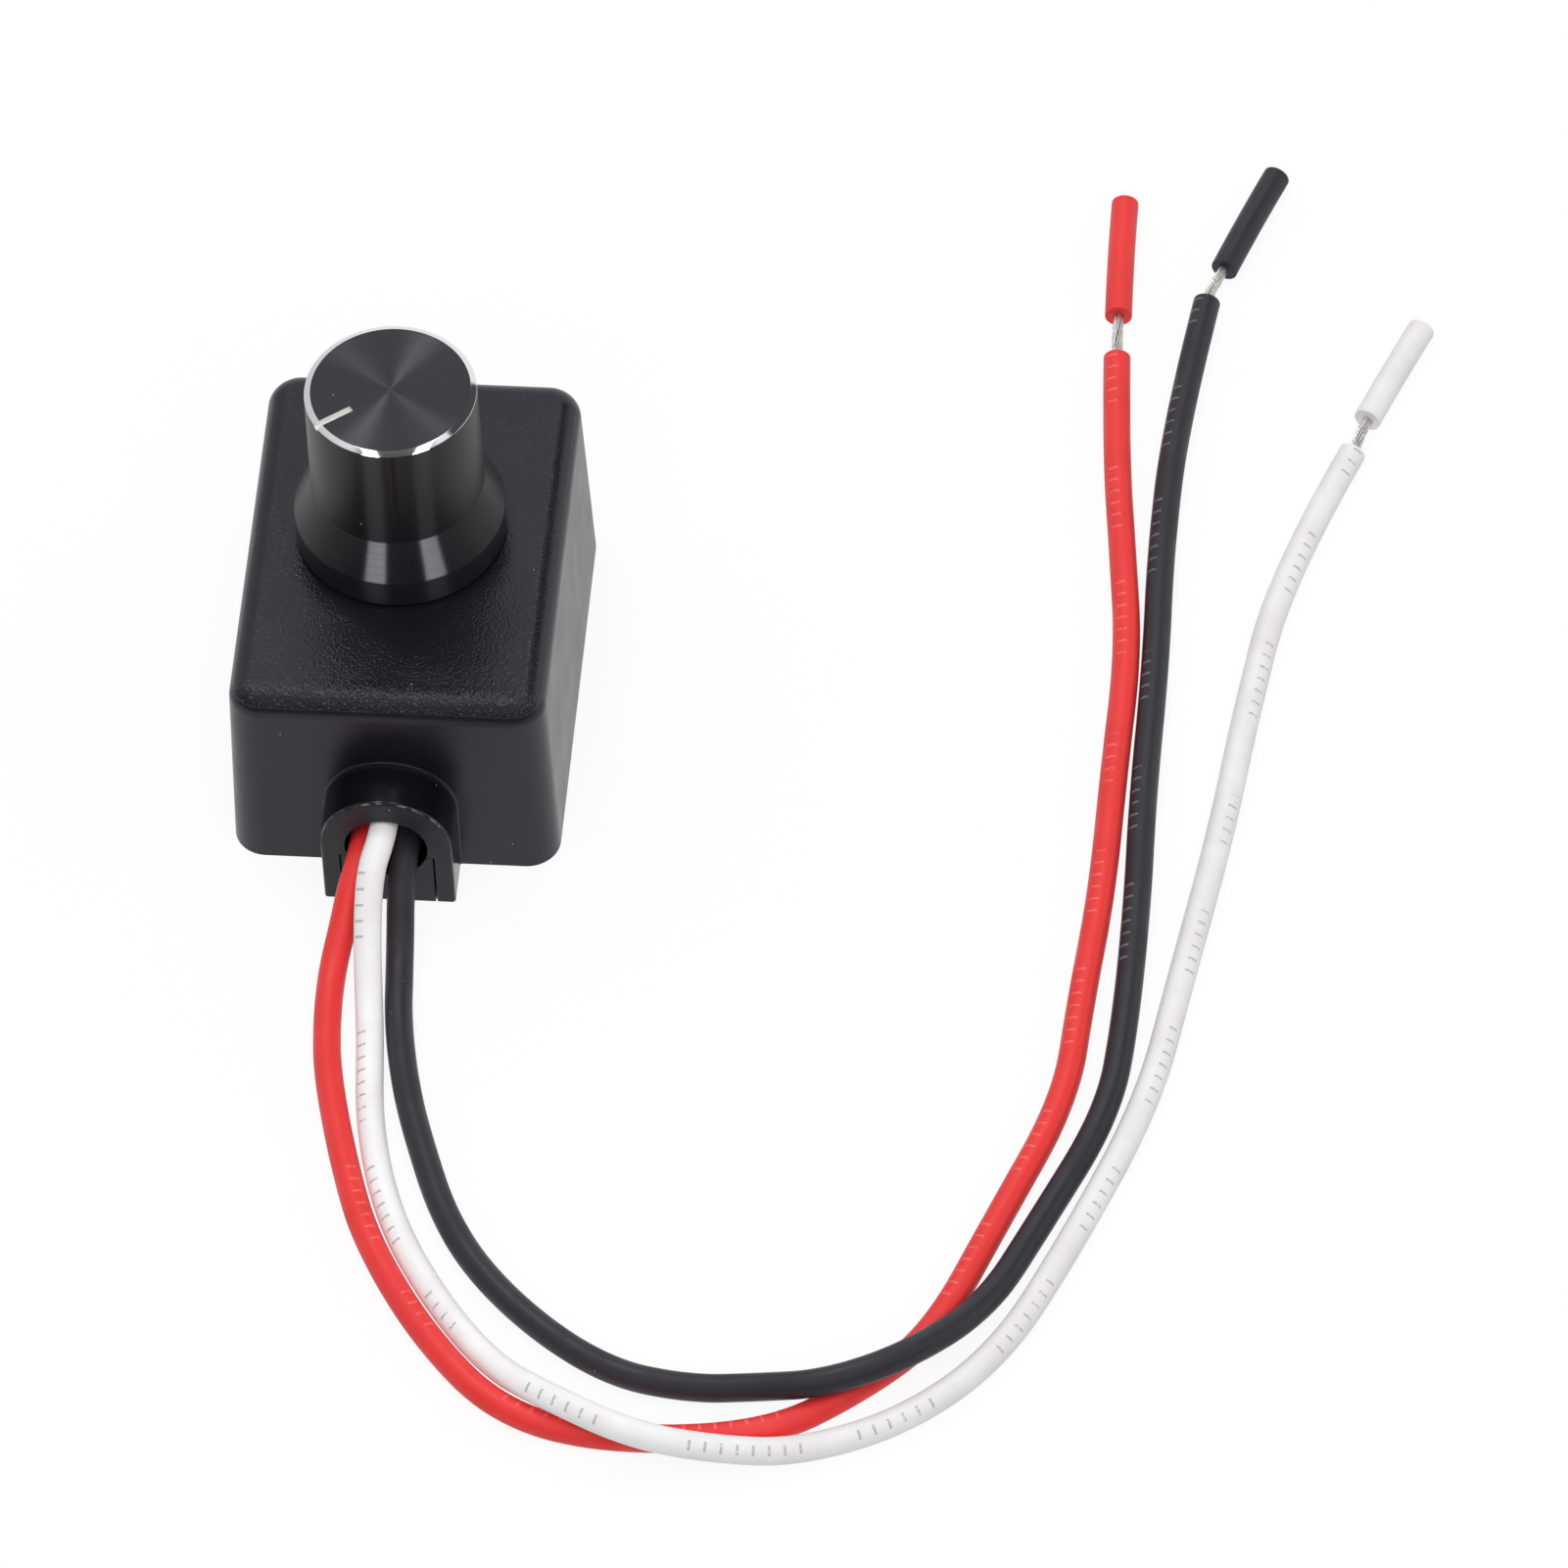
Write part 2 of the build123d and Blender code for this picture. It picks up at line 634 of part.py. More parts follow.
pieces = {
    "case_shell": case_shell,
    "base_cover": base_cover,
    "knob_shell": knob_shell,
    "knob_core": knob_core,
    "pot_shaft": pot_shaft,
    "pot_rotor": pot_rotor,
    "pot_wiper": pot_wiper,
    "pot_housing": pot_housing,
    "pot_bushing": pot_bushing,
    "pot_wafer": pot_wafer,
    "pot_terminals": pot_terminals,
    "pot_washer": pot_washer,
    "pot_nut": pot_nut,
    "circuit_board": circuit_board,
    "power_transistor": power_transistor,
    "timer_chip": timer_chip,
    "voltage_regulator": voltage_regulator,
    "electrolytic_capacitor": electrolytic_capacitor,
    "clamp_diode": clamp_diode,
    "chip_resistors": chip_resistors,
    "chip_capacitors": chip_capacitors,
    "solder_joints": solder_joints,
    "red_wire": red_wire,
    "white_wire": white_wire,
    "black_wire": black_wire,
    "red_strand": red_strand,
    "white_strand": white_strand,
    "black_strand": black_strand,
    "red_sleeve": red_sleeve,
    "white_sleeve": white_sleeve,
    "black_sleeve": black_sleeve,
}
for name, piece in pieces.items():
    piece.part.label = name
    export_step(piece.part, f"parts/{name}.step")
    box = piece.part.bounding_box()
    print(name, len(piece.part.solids()), "solids, %.1f mm3" % piece.part.volume, box.min, box.max)
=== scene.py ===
# %% [markdown]
# # Rotary LED dimmer
# A black moulded box the size of a matchbox carries a turned aluminium knob, and three silicone
# leads leave it through a round outlet and lie in a loop on the table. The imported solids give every
# size and place, in metres, with the foot of the box on the floor. This lesson dresses them: the
# leads and their bare ends first, then the moulded case, the knob, the works inside, and the studio.

# %% Load the frame
import random
from math import cos, pi, radians, sin

import bpy
from mathutils import Matrix, Vector
from mathutils.kdtree import KDTree


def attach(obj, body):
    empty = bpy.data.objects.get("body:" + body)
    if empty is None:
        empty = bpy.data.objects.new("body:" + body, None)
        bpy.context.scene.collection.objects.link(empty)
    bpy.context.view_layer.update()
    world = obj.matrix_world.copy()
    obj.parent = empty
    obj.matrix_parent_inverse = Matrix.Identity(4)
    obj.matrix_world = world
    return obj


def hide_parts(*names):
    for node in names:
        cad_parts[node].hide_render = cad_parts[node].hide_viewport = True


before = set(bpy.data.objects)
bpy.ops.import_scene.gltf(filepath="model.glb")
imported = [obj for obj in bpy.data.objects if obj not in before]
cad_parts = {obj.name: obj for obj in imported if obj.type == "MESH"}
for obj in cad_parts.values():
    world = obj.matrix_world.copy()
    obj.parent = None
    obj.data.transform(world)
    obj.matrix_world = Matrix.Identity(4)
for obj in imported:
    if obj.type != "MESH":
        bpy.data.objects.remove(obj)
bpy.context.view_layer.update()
MM = 0.001

# %% [markdown]
# ## The camera
# A long lens looks down at the box from in front, a little to its right and with a slight roll. Its
# place and lens were found by matching edges of the box and the knob to the picture, and three
# directions (right, up and backwards) make up its matrix.

# %% Camera
SENSOR_WIDTH = 36.0
FOCAL_PIXELS, PICTURE_PIXELS = 15428.6, 1601   # the lens and the picture's width, both in pixels
lens_turn, lens_dip, lens_roll = radians(-7.1075), radians(50.6287), radians(-3.0434)
lens_place = Vector((0.1265501, -0.7774947, 0.9444044))
ahead = Vector((sin(lens_turn) * cos(lens_dip), cos(lens_turn) * cos(lens_dip), -sin(lens_dip)))
level_right = Vector((cos(lens_turn), -sin(lens_turn), 0.0))
level_up = level_right.cross(ahead)
right = level_right * cos(lens_roll) + level_up * sin(lens_roll)
up = level_up * cos(lens_roll) - level_right * sin(lens_roll)

lens = bpy.data.cameras.new("camera")
lens.sensor_width = SENSOR_WIDTH
lens.lens = SENSOR_WIDTH * FOCAL_PIXELS / PICTURE_PIXELS
lens.clip_end = 10.0
camera = bpy.data.objects.new("camera", lens)
bpy.context.scene.collection.objects.link(camera)
camera.matrix_world = Matrix((right, up, -ahead)).transposed().to_4x4()
camera.location = lens_place
bpy.context.scene.camera = camera
print("camera: %.0f mm lens, %.2f m from the origin" % (lens.lens, lens_place.length))

# %% [markdown]
# ## The leads
# Each lead is a limp silicone-covered wire, 2.25 mm thick, shown from the outlet to its cut end. Its
# line could be drawn by hand with Bezier handles, but a NURBS spline needs only the route's own
# points, stays smooth between them and lies flat where they do. The same points shape the solids.

# %% Routes of the leads
LEAD_STEPS = 10              # curve steps from one point of a lead's route to the next
WIRE_RADIUS = 1.125          # in millimetres, as the routes are
LIE = WIRE_RADIUS            # height of a centre line that lies on the table
OVER = 3.7125                # height of one that lies on another lead
routes = {
    "red": [
        (-2.6, -12.5, 6.9), (-2.6, -14.5, 6.9), (-2.1, -17.0, 5.9), (-1.9, -19.8, 6.1),
        (-1.9, -22.7, 6.3), (-2.6, -25.2, 5.0), (-3.1, -27.5, 3.0), (-3.7, -31.0, 1.6),
        (-3.7, -35.5, LIE), (-3.1, -41.2, LIE), (-0.7, -50.6, LIE), (1.8, -57.9, LIE),
        (7.2, -66.9, LIE), (13.8, -74.0, LIE), (22.6, -76.2, LIE), (34.8, -75.0, LIE),
        (41.8, -70.0, LIE), (47.1, -64.5, LIE), (51.3, -52.7, LIE), (55.8, -40.4, LIE),
        (56.3, -30.4, LIE), (57.2, -19.2, LIE), (57.3, -6.5, LIE), (57.6, 6.0, LIE),
        (56.4, 16.5, LIE), (55.1, 27.3, LIE), (54.5, 37.4, LIE),
    ],
    "black": [
        (2.6, -12.5, 6.9), (2.6, -14.5, 6.9), (2.1, -17.0, 5.9), (1.7, -19.8, 5.8),
        (1.4, -22.3, 5.7), (1.4, -25.4, 4.4), (1.5, -27.6, 2.6), (1.7, -31.0, 1.5),
        (2.0, -35.2, LIE), (2.9, -40.4, LIE), (4.3, -45.8, LIE), (8.1, -56.4, LIE),
        (14.0, -63.8, LIE), (21.7, -69.5, LIE), (28.5, -70.8, LIE), (33.8, -70.9, 1.9),
        (39.2, -71.6, OVER), (45.5, -68.5, OVER), (51.1, -61.7, 1.6), (54.6, -53.0, LIE),
        (59.3, -41.5, LIE), (60.0, -31.8, LIE), (60.1, -19.7, LIE), (59.8, -9.4, LIE),
        (59.9, 5.0, LIE), (59.5, 16.5, LIE), (59.8, 30.4, LIE), (61.5, 43.9, LIE),
    ],
    "white": [
        (0.0, -12.5, 6.9), (0.0, -14.5, 6.9), (0.0, -17.2, 7.1), (-0.1, -20.0, 8.2),
        (-0.2, -22.9, 8.5), (-0.9, -25.4, 7.4), (-0.9, -29.0, 5.0), (-0.6, -32.5, 2.6),
        (0.0, -37.5, 1.3), (0.8, -46.6, LIE), (3.4, -55.7, LIE), (7.9, -63.5, LIE),
        (12.8, -69.7, 1.5), (17.2, -73.6, 3.4), (24.5, -77.4, OVER), (31.0, -77.5, 2.4),
        (37.5, -76.5, LIE), (45.8, -72.8, LIE), (52.5, -65.9, LIE), (57.1, -55.1, LIE),
        (62.3, -40.6, LIE), (64.1, -27.8, LIE), (66.3, -12.9, LIE), (67.5, -0.5, LIE),
        (69.5, 14.8, LIE), (74.5, 28.2, LIE),
    ],
}


def draw_route(name, points, smoothness):
    """Curve object with one open NURBS spline, steered by the route's points in millimetres."""
    curve = bpy.data.curves.new(name, "CURVE")
    curve.dimensions = "3D"
    curve.resolution_u = smoothness
    spline = curve.splines.new("NURBS")
    spline.points.add(len(points) - 1)
    for knot, point in zip(spline.points, points):
        knot.co = (*(Vector(point) * MM), 1.0)
    spline.order_u = 3
    spline.use_endpoint_u = True
    made = bpy.data.objects.new(name, curve)
    bpy.context.scene.collection.objects.link(made)
    return made


def read_line(route):
    """Points along a drawn route, with the length up to each one."""
    line = bpy.data.meshes.new_from_object(route)
    points = [vertex.co.copy() for vertex in line.vertices]
    bpy.data.meshes.remove(line)
    reach = [0.0]
    for before, after in zip(points, points[1:]):
        reach.append(reach[-1] + (after - before).length)
    return points, reach


drawn = {colour: draw_route(colour + "_lead", points, LEAD_STEPS) for colour, points in routes.items()}
lines = {colour: read_line(route) for colour, route in drawn.items()}
for colour, (points, reach) in lines.items():
    print(colour, "lead:", len(points), "points, %.1f mm long" % (reach[-1] / MM))

# %% [markdown]
# ## Insulation with a cut end
# The silicone cover is a tube. A bevelled curve gives the tube, and turning it into a mesh lets its
# end be worked by hand: the rim is rounded a little, as a blade leaves soft rubber, and the face is
# inset and pushed in to make the hole that the conductor comes out of. Each point also stores how
# far along the lead it is and which side of it, so that a print line can follow the lead.

# %% Helpers for working in edit mode
STRAND_RADIUS = 0.475
HOLE_RADIUS = STRAND_RADIUS + 0.06   # the conductor with a little play
END_REACH = 0.2              # how near to a tube's end its flat face lies
RIM_STEPS = 3
TUBE_STEPS = 8               # bevel steps of a tube's round section


def pick_alone(piece):
    """Deselects everything, then makes one object the selected and active one."""
    bpy.ops.object.select_all(action="DESELECT")
    piece.select_set(True)
    bpy.context.view_layer.objects.active = piece


def pick_faces(piece, wanted):
    """Selects the faces that a test accepts and opens the piece in edit mode."""
    pick_alone(piece)
    bpy.ops.object.mode_set(mode="EDIT")
    bpy.ops.mesh.select_mode(type="FACE")
    bpy.ops.mesh.select_all(action="DESELECT")
    bpy.ops.object.mode_set(mode="OBJECT")
    for face in piece.data.polygons:
        face.select = wanted(face)
    bpy.ops.object.mode_set(mode="EDIT")


def drill_end(piece, place, inward, hole_depth, rim):
    """Rounds the rim of a tube's flat end and sinks the conductor's hole into it."""
    def at_end(face):
        return (face.center - place).length < END_REACH * MM and len(face.vertices) > 4

    pick_faces(piece, at_end)
    bpy.ops.mesh.bevel(offset=rim * MM, segments=RIM_STEPS, affect="EDGES")
    bpy.ops.object.mode_set(mode="OBJECT")
    pick_faces(piece, at_end)
    bpy.ops.mesh.inset(thickness=(WIRE_RADIUS - rim - HOLE_RADIUS) * MM)
    bpy.ops.mesh.extrude_region_move(TRANSFORM_OT_translate={"value": inward * hole_depth * MM})
    bpy.ops.object.mode_set(mode="OBJECT")


def make_tube(route):
    """Turns a drawn route into a closed mesh tube as thick as a lead."""
    route.data.bevel_depth = WIRE_RADIUS * MM
    route.data.bevel_resolution = TUBE_STEPS
    route.data.use_fill_caps = True
    pick_alone(route)
    bpy.ops.object.convert(target="MESH")
    bpy.ops.object.shade_smooth_by_angle(angle=radians(50))
    return bpy.context.object


# %% Insulation of the three leads
LEAD_HOLE, LEAD_RIM = 1.2, 0.2   # depth of the hole, and width of the rounded rim
leads = {}
for colour, (points, _) in lines.items():
    lead = make_tube(drawn[colour])
    end_way = (points[-1] - points[-2]).normalized()
    drill_end(lead, points[-1], -end_way, LEAD_HOLE, LEAD_RIM)
    leads[colour] = lead
    print(lead.name, len(lead.data.polygons), "faces")

# %% Length and side stored on each lead's points
def sides_at(points, index):
    """Directions to the left of a line and up from it, at one of its points."""
    before, after = points[max(index - 1, 0)], points[min(index + 1, len(points) - 1)]
    way = (after - before).normalized()
    left = Vector((0, 0, 1)).cross(way).normalized()
    return left, way.cross(left)


for colour, lead in leads.items():
    points, reach = lines[colour]
    tree = KDTree(len(points))
    for index, point in enumerate(points):
        tree.insert(point, index)
    tree.balance()
    along = lead.data.attributes.new("along", "FLOAT", "POINT")
    top_share = lead.data.attributes.new("top_share", "FLOAT", "POINT")
    left_share = lead.data.attributes.new("left_share", "FLOAT", "POINT")
    for index, vertex in enumerate(lead.data.vertices):
        foot, nearest, _ = tree.find(vertex.co)
        left, top = sides_at(points, nearest)
        along.data[index].value = reach[nearest]
        top_share.data[index].value = (vertex.co - foot).dot(top) / (WIRE_RADIUS * MM)
        left_share.data[index].value = (vertex.co - foot).dot(left) / (WIRE_RADIUS * MM)
print("stored along, top_share and left_share on", len(leads), "leads")

# %% [markdown]
# ## Bare conductors and tip sleeves
# At each far end the cover is cut through and pulled along, as wire makers leave it, so a few
# millimetres of tinned conductor show between the lead and a loose sleeve. The conductor is a bundle
# of fine strands with a slow twist. Each strand winds round the conductor's own line, which is a
# NURBS spline again, and the sleeve is a short tube with a hole drilled in both ends.

# %% Conductor bundles
STRANDS, INNER_STRANDS = 11, 4
STRAND_THICKNESS = 0.2
INNER_RADIUS = 0.16          # of the ring that the inner strands wind on
ANGLE_PLAY, RADIUS_PLAY = 0.3, 0.05   # how unevenly the outer strands lie
AXIS_STEPS = 16
TWIST_LENGTH = 17.0          # millimetres for one turn of the bundle
BARE_SHARE = 0.33            # of the gap to the sleeve that runs straight at each end
sleeve_ends = {
    "red": ((54.3, 42.0, LIE), (54.0, 54.4, LIE)),
    "black": ((62.7, 47.6, LIE), (66.4, 58.1, LIE)),
    "white": ((75.5, 31.8, LIE), (79.4, 41.9, LIE)),
}
shuffle = random.Random(7)


def wind_strand(name, points, reach, start_angle, radius):
    """Curve of one fine strand that winds round the conductor's line."""
    curve = bpy.data.curves.new(name, "CURVE")
    curve.dimensions = "3D"
    curve.bevel_depth = STRAND_THICKNESS / 2 * MM
    curve.bevel_resolution = 1
    curve.use_fill_caps = True
    spline = curve.splines.new("POLY")
    spline.points.add(len(points) - 1)
    for index, point in enumerate(points):
        left, top = sides_at(points, index)
        angle = start_angle + 2 * pi * reach[index] / (TWIST_LENGTH * MM)
        place = point + (left * cos(angle) + top * sin(angle)) * radius * MM
        spline.points[index].co = (*place, 1.0)
    made = bpy.data.objects.new(name, curve)
    bpy.context.scene.collection.objects.link(made)
    return made


bundles = {}
for colour, (near, far) in sleeve_ends.items():
    before, end = Vector(routes[colour][-2]), Vector(routes[colour][-1])
    near, far = Vector(near), Vector(far)
    gap = (near - end).length
    out_way, in_way = (end - before).normalized(), (far - near).normalized()
    straight = BARE_SHARE * gap
    way_points = [end - out_way, end + out_way * straight, near - in_way * straight, far - in_way * gap]
    axis = draw_route(colour + "_axis", way_points, AXIS_STEPS)
    points, reach = read_line(axis)
    bpy.data.objects.remove(axis)
    strands = []
    for number in range(STRANDS):
        angle = 2 * pi * (number + ANGLE_PLAY * shuffle.random()) / STRANDS
        spread = STRAND_RADIUS - STRAND_THICKNESS / 2 - RADIUS_PLAY * shuffle.random()
        strands.append(wind_strand(colour + "_fine_strand", points, reach, angle, spread))
    for number in range(INNER_STRANDS):
        angle = 2 * pi * number / INNER_STRANDS
        strands.append(wind_strand(colour + "_fine_strand", points, reach, angle, INNER_RADIUS))
    pick_alone(strands[0])
    for strand in strands:
        strand.select_set(True)
    bpy.ops.object.convert(target="MESH")
    bpy.ops.object.join()
    bundle = bpy.context.object
    bundle.name = colour + "_conductor"
    bpy.ops.object.shade_smooth_by_angle(angle=radians(60))
    bundles[colour] = bundle
    print(bundle.name, len(strands), "strands,", len(bundle.data.polygons), "faces")

# %% Tip sleeves
BOW = 0.12                   # how far a sleeve's middle bows sideways
SLEEVE_STEPS = 14
SLEEVE_HOLE, NEAR_RIM, FAR_RIM = 1.5, 0.22, 0.3
sleeves = {}
for colour, (near, far) in sleeve_ends.items():
    near, far = Vector(near), Vector(far)
    in_way = (far - near).normalized()
    side = Vector((0, 0, 1)).cross(in_way)
    middle = (near + far) / 2 + side * BOW
    drawn_sleeve = draw_route(colour + "_tip", [near, middle, far], SLEEVE_STEPS)
    points, reach = read_line(drawn_sleeve)
    tip = make_tube(drawn_sleeve)
    drill_end(tip, points[0], in_way, SLEEVE_HOLE, NEAR_RIM)
    drill_end(tip, points[-1], -in_way, SLEEVE_HOLE, FAR_RIM)
    sleeves[colour] = tip
    print(tip.name, len(tip.data.polygons), "faces, %.1f mm long" % (reach[-1] / MM))

# %% [markdown]
# ## The leads in place of the solids
# Each lead, conductor and sleeve is hung on the box's body, and the plain solid that it stands for is
# hidden. The point where each lead leaves the outlet is found.

# %% Leads, conductors and sleeves on the frame
HOOD_FRONT = -22.2 * MM      # the mouth of the outlet
for colour in routes:
    lead, bundle, tip = leads[colour], bundles[colour], sleeves[colour]
    points, reach = lines[colour]
    for piece, node in ((lead, "_wire"), (bundle, "_strand"), (tip, "_sleeve")):
        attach(piece, "housing")
        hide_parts(colour + node)
    past_mouth = next(index for index, point in enumerate(points) if point.y < HOOD_FRONT)
    tuple(points[past_mouth])
    [tuple(point) for point in points]
    print(colour, "lead leaves the outlet at point", past_mouth)

# %% [markdown]
# ## Shared effects
# Three effects are node groups, built once and placed wherever a finish needs them: the fine
# spark-eroded grain of the mould with painted glints on its peaks, the specks of dust that settle on
# plastic, metal and rubber, and the row of printed ticks along the leads. Nodes could be set out one by
# one each time, but small helpers write each sum of them in one line.

# %% Helpers for nodes
def node(tree, kind, **settings):
    """New node of a kind, with its settings."""
    made = tree.nodes.new("ShaderNode" + kind)
    for key, value in settings.items():
        setattr(made, key, value)
    return made


def feed(tree, socket, value):
    """Sets a socket to a number, or links it to another node's output."""
    if isinstance(value, bpy.types.NodeSocket):
        tree.links.new(value, socket)
    else:
        socket.default_value = value


def calc(tree, operation, *values):
    """Math node on numbers or outputs."""
    made = node(tree, "Math", operation=operation)
    for socket, value in zip(made.inputs, values):
        feed(tree, socket, value)
    return made.outputs[0]


def product(tree, first, *others):
    """Numbers or outputs multiplied together."""
    for other in others:
        first = calc(tree, "MULTIPLY", first, other)
    return first


def hypotenuse(tree, first, second):
    """Distance from an axis, from two distances that are square to each other."""
    squares = [calc(tree, "POWER", side, 2.0) for side in (first, second)]
    return calc(tree, "SQRT", calc(tree, "ADD", *squares))


def ramp(tree, value, low, high, start=0.0, end=1.0):
    """Value carried smoothly from the range low..high to start..end."""
    made = node(tree, "MapRange", interpolation_type="SMOOTHSTEP")
    for socket, number in zip(made.inputs, (value, low, high, start, end)):
        feed(tree, socket, number)
    return made.outputs[0]


def object_place(tree):
    """Place on a piece, in the coordinates of its object."""
    return node(tree, "TexCoord").outputs["Object"]


def split(tree, vector):
    """X, Y and Z of a place or a direction."""
    made = node(tree, "SeparateXYZ")
    feed(tree, made.inputs[0], vector)
    return tuple(made.outputs)


def noise(tree, place, scale, detail=2.0):
    """Noise from 0 to 1 at a place."""
    made = node(tree, "TexNoise")
    feed(tree, made.inputs["Vector"], place)
    feed(tree, made.inputs["Scale"], scale)
    made.inputs["Detail"].default_value = detail
    return made.outputs["Fac"]


def cells(tree, place, scale, **settings):
    """Distance and colour of the cells of a Voronoi pattern at a place."""
    made = node(tree, "TexVoronoi", **settings)
    feed(tree, made.inputs["Vector"], place)
    feed(tree, made.inputs["Scale"], scale)
    return made.outputs


def blend_colours(tree, share, first, second, blend_type="MIX"):
    """Colour between two colours or outputs."""
    made = node(tree, "Mix", data_type="RGBA", blend_type=blend_type)
    feed(tree, made.inputs["Factor"], share)
    for socket, colour in ((made.inputs[6], first), (made.inputs[7], second)):
        feed(tree, socket, (*colour, 1.0) if isinstance(colour, tuple) else colour)
    return made.outputs[2]


def new_group(name, inputs, outputs):
    """Shader node group with number sockets, and its two end nodes."""
    tree = bpy.data.node_groups.new(name, "ShaderNodeTree")
    for socket, value in inputs.items():
        made = tree.interface.new_socket(socket, in_out="INPUT", socket_type="NodeSocketFloat")
        made.default_value = value
    for socket in outputs:
        tree.interface.new_socket(socket, in_out="OUTPUT", socket_type="NodeSocketFloat")
    return tree, tree.nodes.new("NodeGroupInput").outputs, tree.nodes.new("NodeGroupOutput").inputs


def use_group(tree, group, **values):
    """Places a group in a material with its own values and gives its outputs."""
    made = tree.nodes.new("ShaderNodeGroup")
    made.node_tree = group
    for key, value in values.items():
        feed(tree, made.inputs[key], value)
    return made.outputs


# %% Spark grain and painted glints
PIT_SCALE, PATCH_SCALE = 5000.0, 260.0
grain, given, out = new_group("spark_grain_and_glints", {"Scale": PIT_SCALE}, ["Height", "Glints", "Patches"])
place = object_place(grain)
pits = cells(grain, place, given["Scale"], feature="SMOOTH_F1")["Distance"]
feed(grain, out["Height"], calc(grain, "ADD", pits, noise(grain, place, given["Scale"], 3.0)))
# painted glints: small, rare cells that lift the colour where the peaks would catch the lamps
dots = cells(grain, place, given["Scale"])
lot = node(grain, "SeparateColor")
grain.links.new(dots["Color"], lot.inputs["Color"])
small = ramp(grain, dots["Distance"], 0.55, 0.2)
rare = ramp(grain, lot.outputs["Red"], 0.6, 1.0)
feed(grain, out["Glints"], product(grain, small, rare))
feed(grain, out["Patches"], noise(grain, place, PATCH_SCALE, 3.0))
print("group", grain.name)

# %% Dust specks
SHAKE_SCALE, SHAKE = 4000.0, 0.12 * MM   # how finely and how far a speck's outline wanders
dust, given, out = new_group("dust_specks", {"Scale": 540.0, "Size": 0.034}, ["Mask"])
place = object_place(dust)
wobble = node(dust, "TexNoise")
wobble.inputs["Scale"].default_value = SHAKE_SCALE
dust.links.new(place, wobble.inputs["Vector"])
shaken = node(dust, "VectorMath", operation="MULTIPLY_ADD")
dust.links.new(wobble.outputs["Color"], shaken.inputs[0])
shaken.inputs[1].default_value = (SHAKE,) * 3
dust.links.new(place, shaken.inputs[2])
specks = cells(dust, shaken.outputs["Vector"], given["Scale"])
far_off = calc(dust, "DIVIDE", specks["Distance"], given["Size"])
feed(dust, out["Mask"], ramp(dust, far_off, 1.0, 0.6))
print("group", dust.name)

# %% Printed ticks
GROUP_PITCH = 13.5 * MM      # from one group of ticks to the next
GROUP_LEAST, GROUP_MORE = 4.5 * MM, 5.0 * MM   # a group's least length, and what chance adds
TICK_PITCH = 1.25 * MM
INK_SHARE = 0.17             # of the pitch
HALF_HEIGHT = 0.4            # of a tick, as an angle round the lead
RUB_SCALE = 3000.0
ticks, given, out = new_group("printed_ticks", {"Top": 0.8, "Left": 0.6, "Start": 0.0}, ["Mask"])
length, top, left = (
    node(ticks, "Attribute", attribute_name=stored).outputs["Fac"]
    for stored in ("along", "top_share", "left_share"))
group_number = calc(ticks, "FLOOR", calc(ticks, "DIVIDE", length, GROUP_PITCH))
in_group = calc(ticks, "SUBTRACT", length, product(ticks, group_number, GROUP_PITCH))
chance = node(ticks, "TexWhiteNoise", noise_dimensions="1D")
ticks.links.new(group_number, chance.inputs["W"])
group_length = calc(ticks, "MULTIPLY_ADD", chance.outputs["Value"], GROUP_MORE, GROUP_LEAST)
inside = calc(ticks, "LESS_THAN", in_group, group_length)
started = calc(ticks, "GREATER_THAN", length, given["Start"])
beat = calc(ticks, "FRACT", calc(ticks, "DIVIDE", in_group, TICK_PITCH))
stroke = calc(ticks, "LESS_THAN", beat, INK_SHARE)
facing = calc(ticks, "ADD", product(ticks, top, given["Top"]), product(ticks, left, given["Left"]))
height = calc(ticks, "GREATER_THAN", facing, cos(HALF_HEIGHT))
worn = ramp(ticks, noise(ticks, object_place(ticks), RUB_SCALE), 0.25, 0.5)
feed(ticks, out["Mask"], product(ticks, inside, started, stroke, height, worn))
print("group", ticks.name)

# %% [markdown]
# ## Silicone and tinned wire
# Silicone rubber is satin, with a soft broad highlight and a skin that is never quite even. Its colour
# varies a little, it dulls along the lead, and its print is thin and partly worn off. White silicone
# lets light through, which real scattering could show; here a weak painted glow of its own colour lifts
# its shade instead, which in so thin a tube costs nothing. The tinned strands are grey metal.

# %% Silicone
DULL_FROM, DULL_TO = 55 * MM, 110 * MM   # where along the lead it dulls
SATIN, SATIN_LEVEL = 0.45, 0.38          # roughness and specular level
CLOUD_SCALE, SKIN_SCALE = 240.0, 2600.0
SKIN_DEPTH, SKIN_STRENGTH = 0.02 * MM, 0.6
CLOUD_TINT = (0.93, 0.9, 0.91)
LEAD_DUST = (0.7, 0.69, 0.67)


def new_finish(name, colour, roughness, metallic=0.0):
    """Material with a Principled shader at plain values, and its tree and shader."""
    finish = bpy.data.materials.new(name)
    finish.use_nodes = True
    shader = finish.node_tree.nodes["Principled BSDF"]
    shader.inputs["Base Color"].default_value = (*colour, 1.0)
    shader.inputs["Roughness"].default_value = roughness
    shader.inputs["Metallic"].default_value = metallic
    return finish, finish.node_tree, shader


def paint(tree, shader, colour, roughness):
    """Links a colour and a roughness that vary over the surface to a shader."""
    tree.links.new(colour, shader.inputs["Base Color"])
    tree.links.new(roughness, shader.inputs["Roughness"])


def roughen(tree, shader, height, depth, strength):
    """Bump on a shader, with the height's depth in metres."""
    made = node(tree, "Bump")
    made.inputs["Strength"].default_value = strength
    made.inputs["Distance"].default_value = depth
    feed(tree, made.inputs["Height"], height)
    tree.links.new(made.outputs["Normal"], shader.inputs["Normal"])


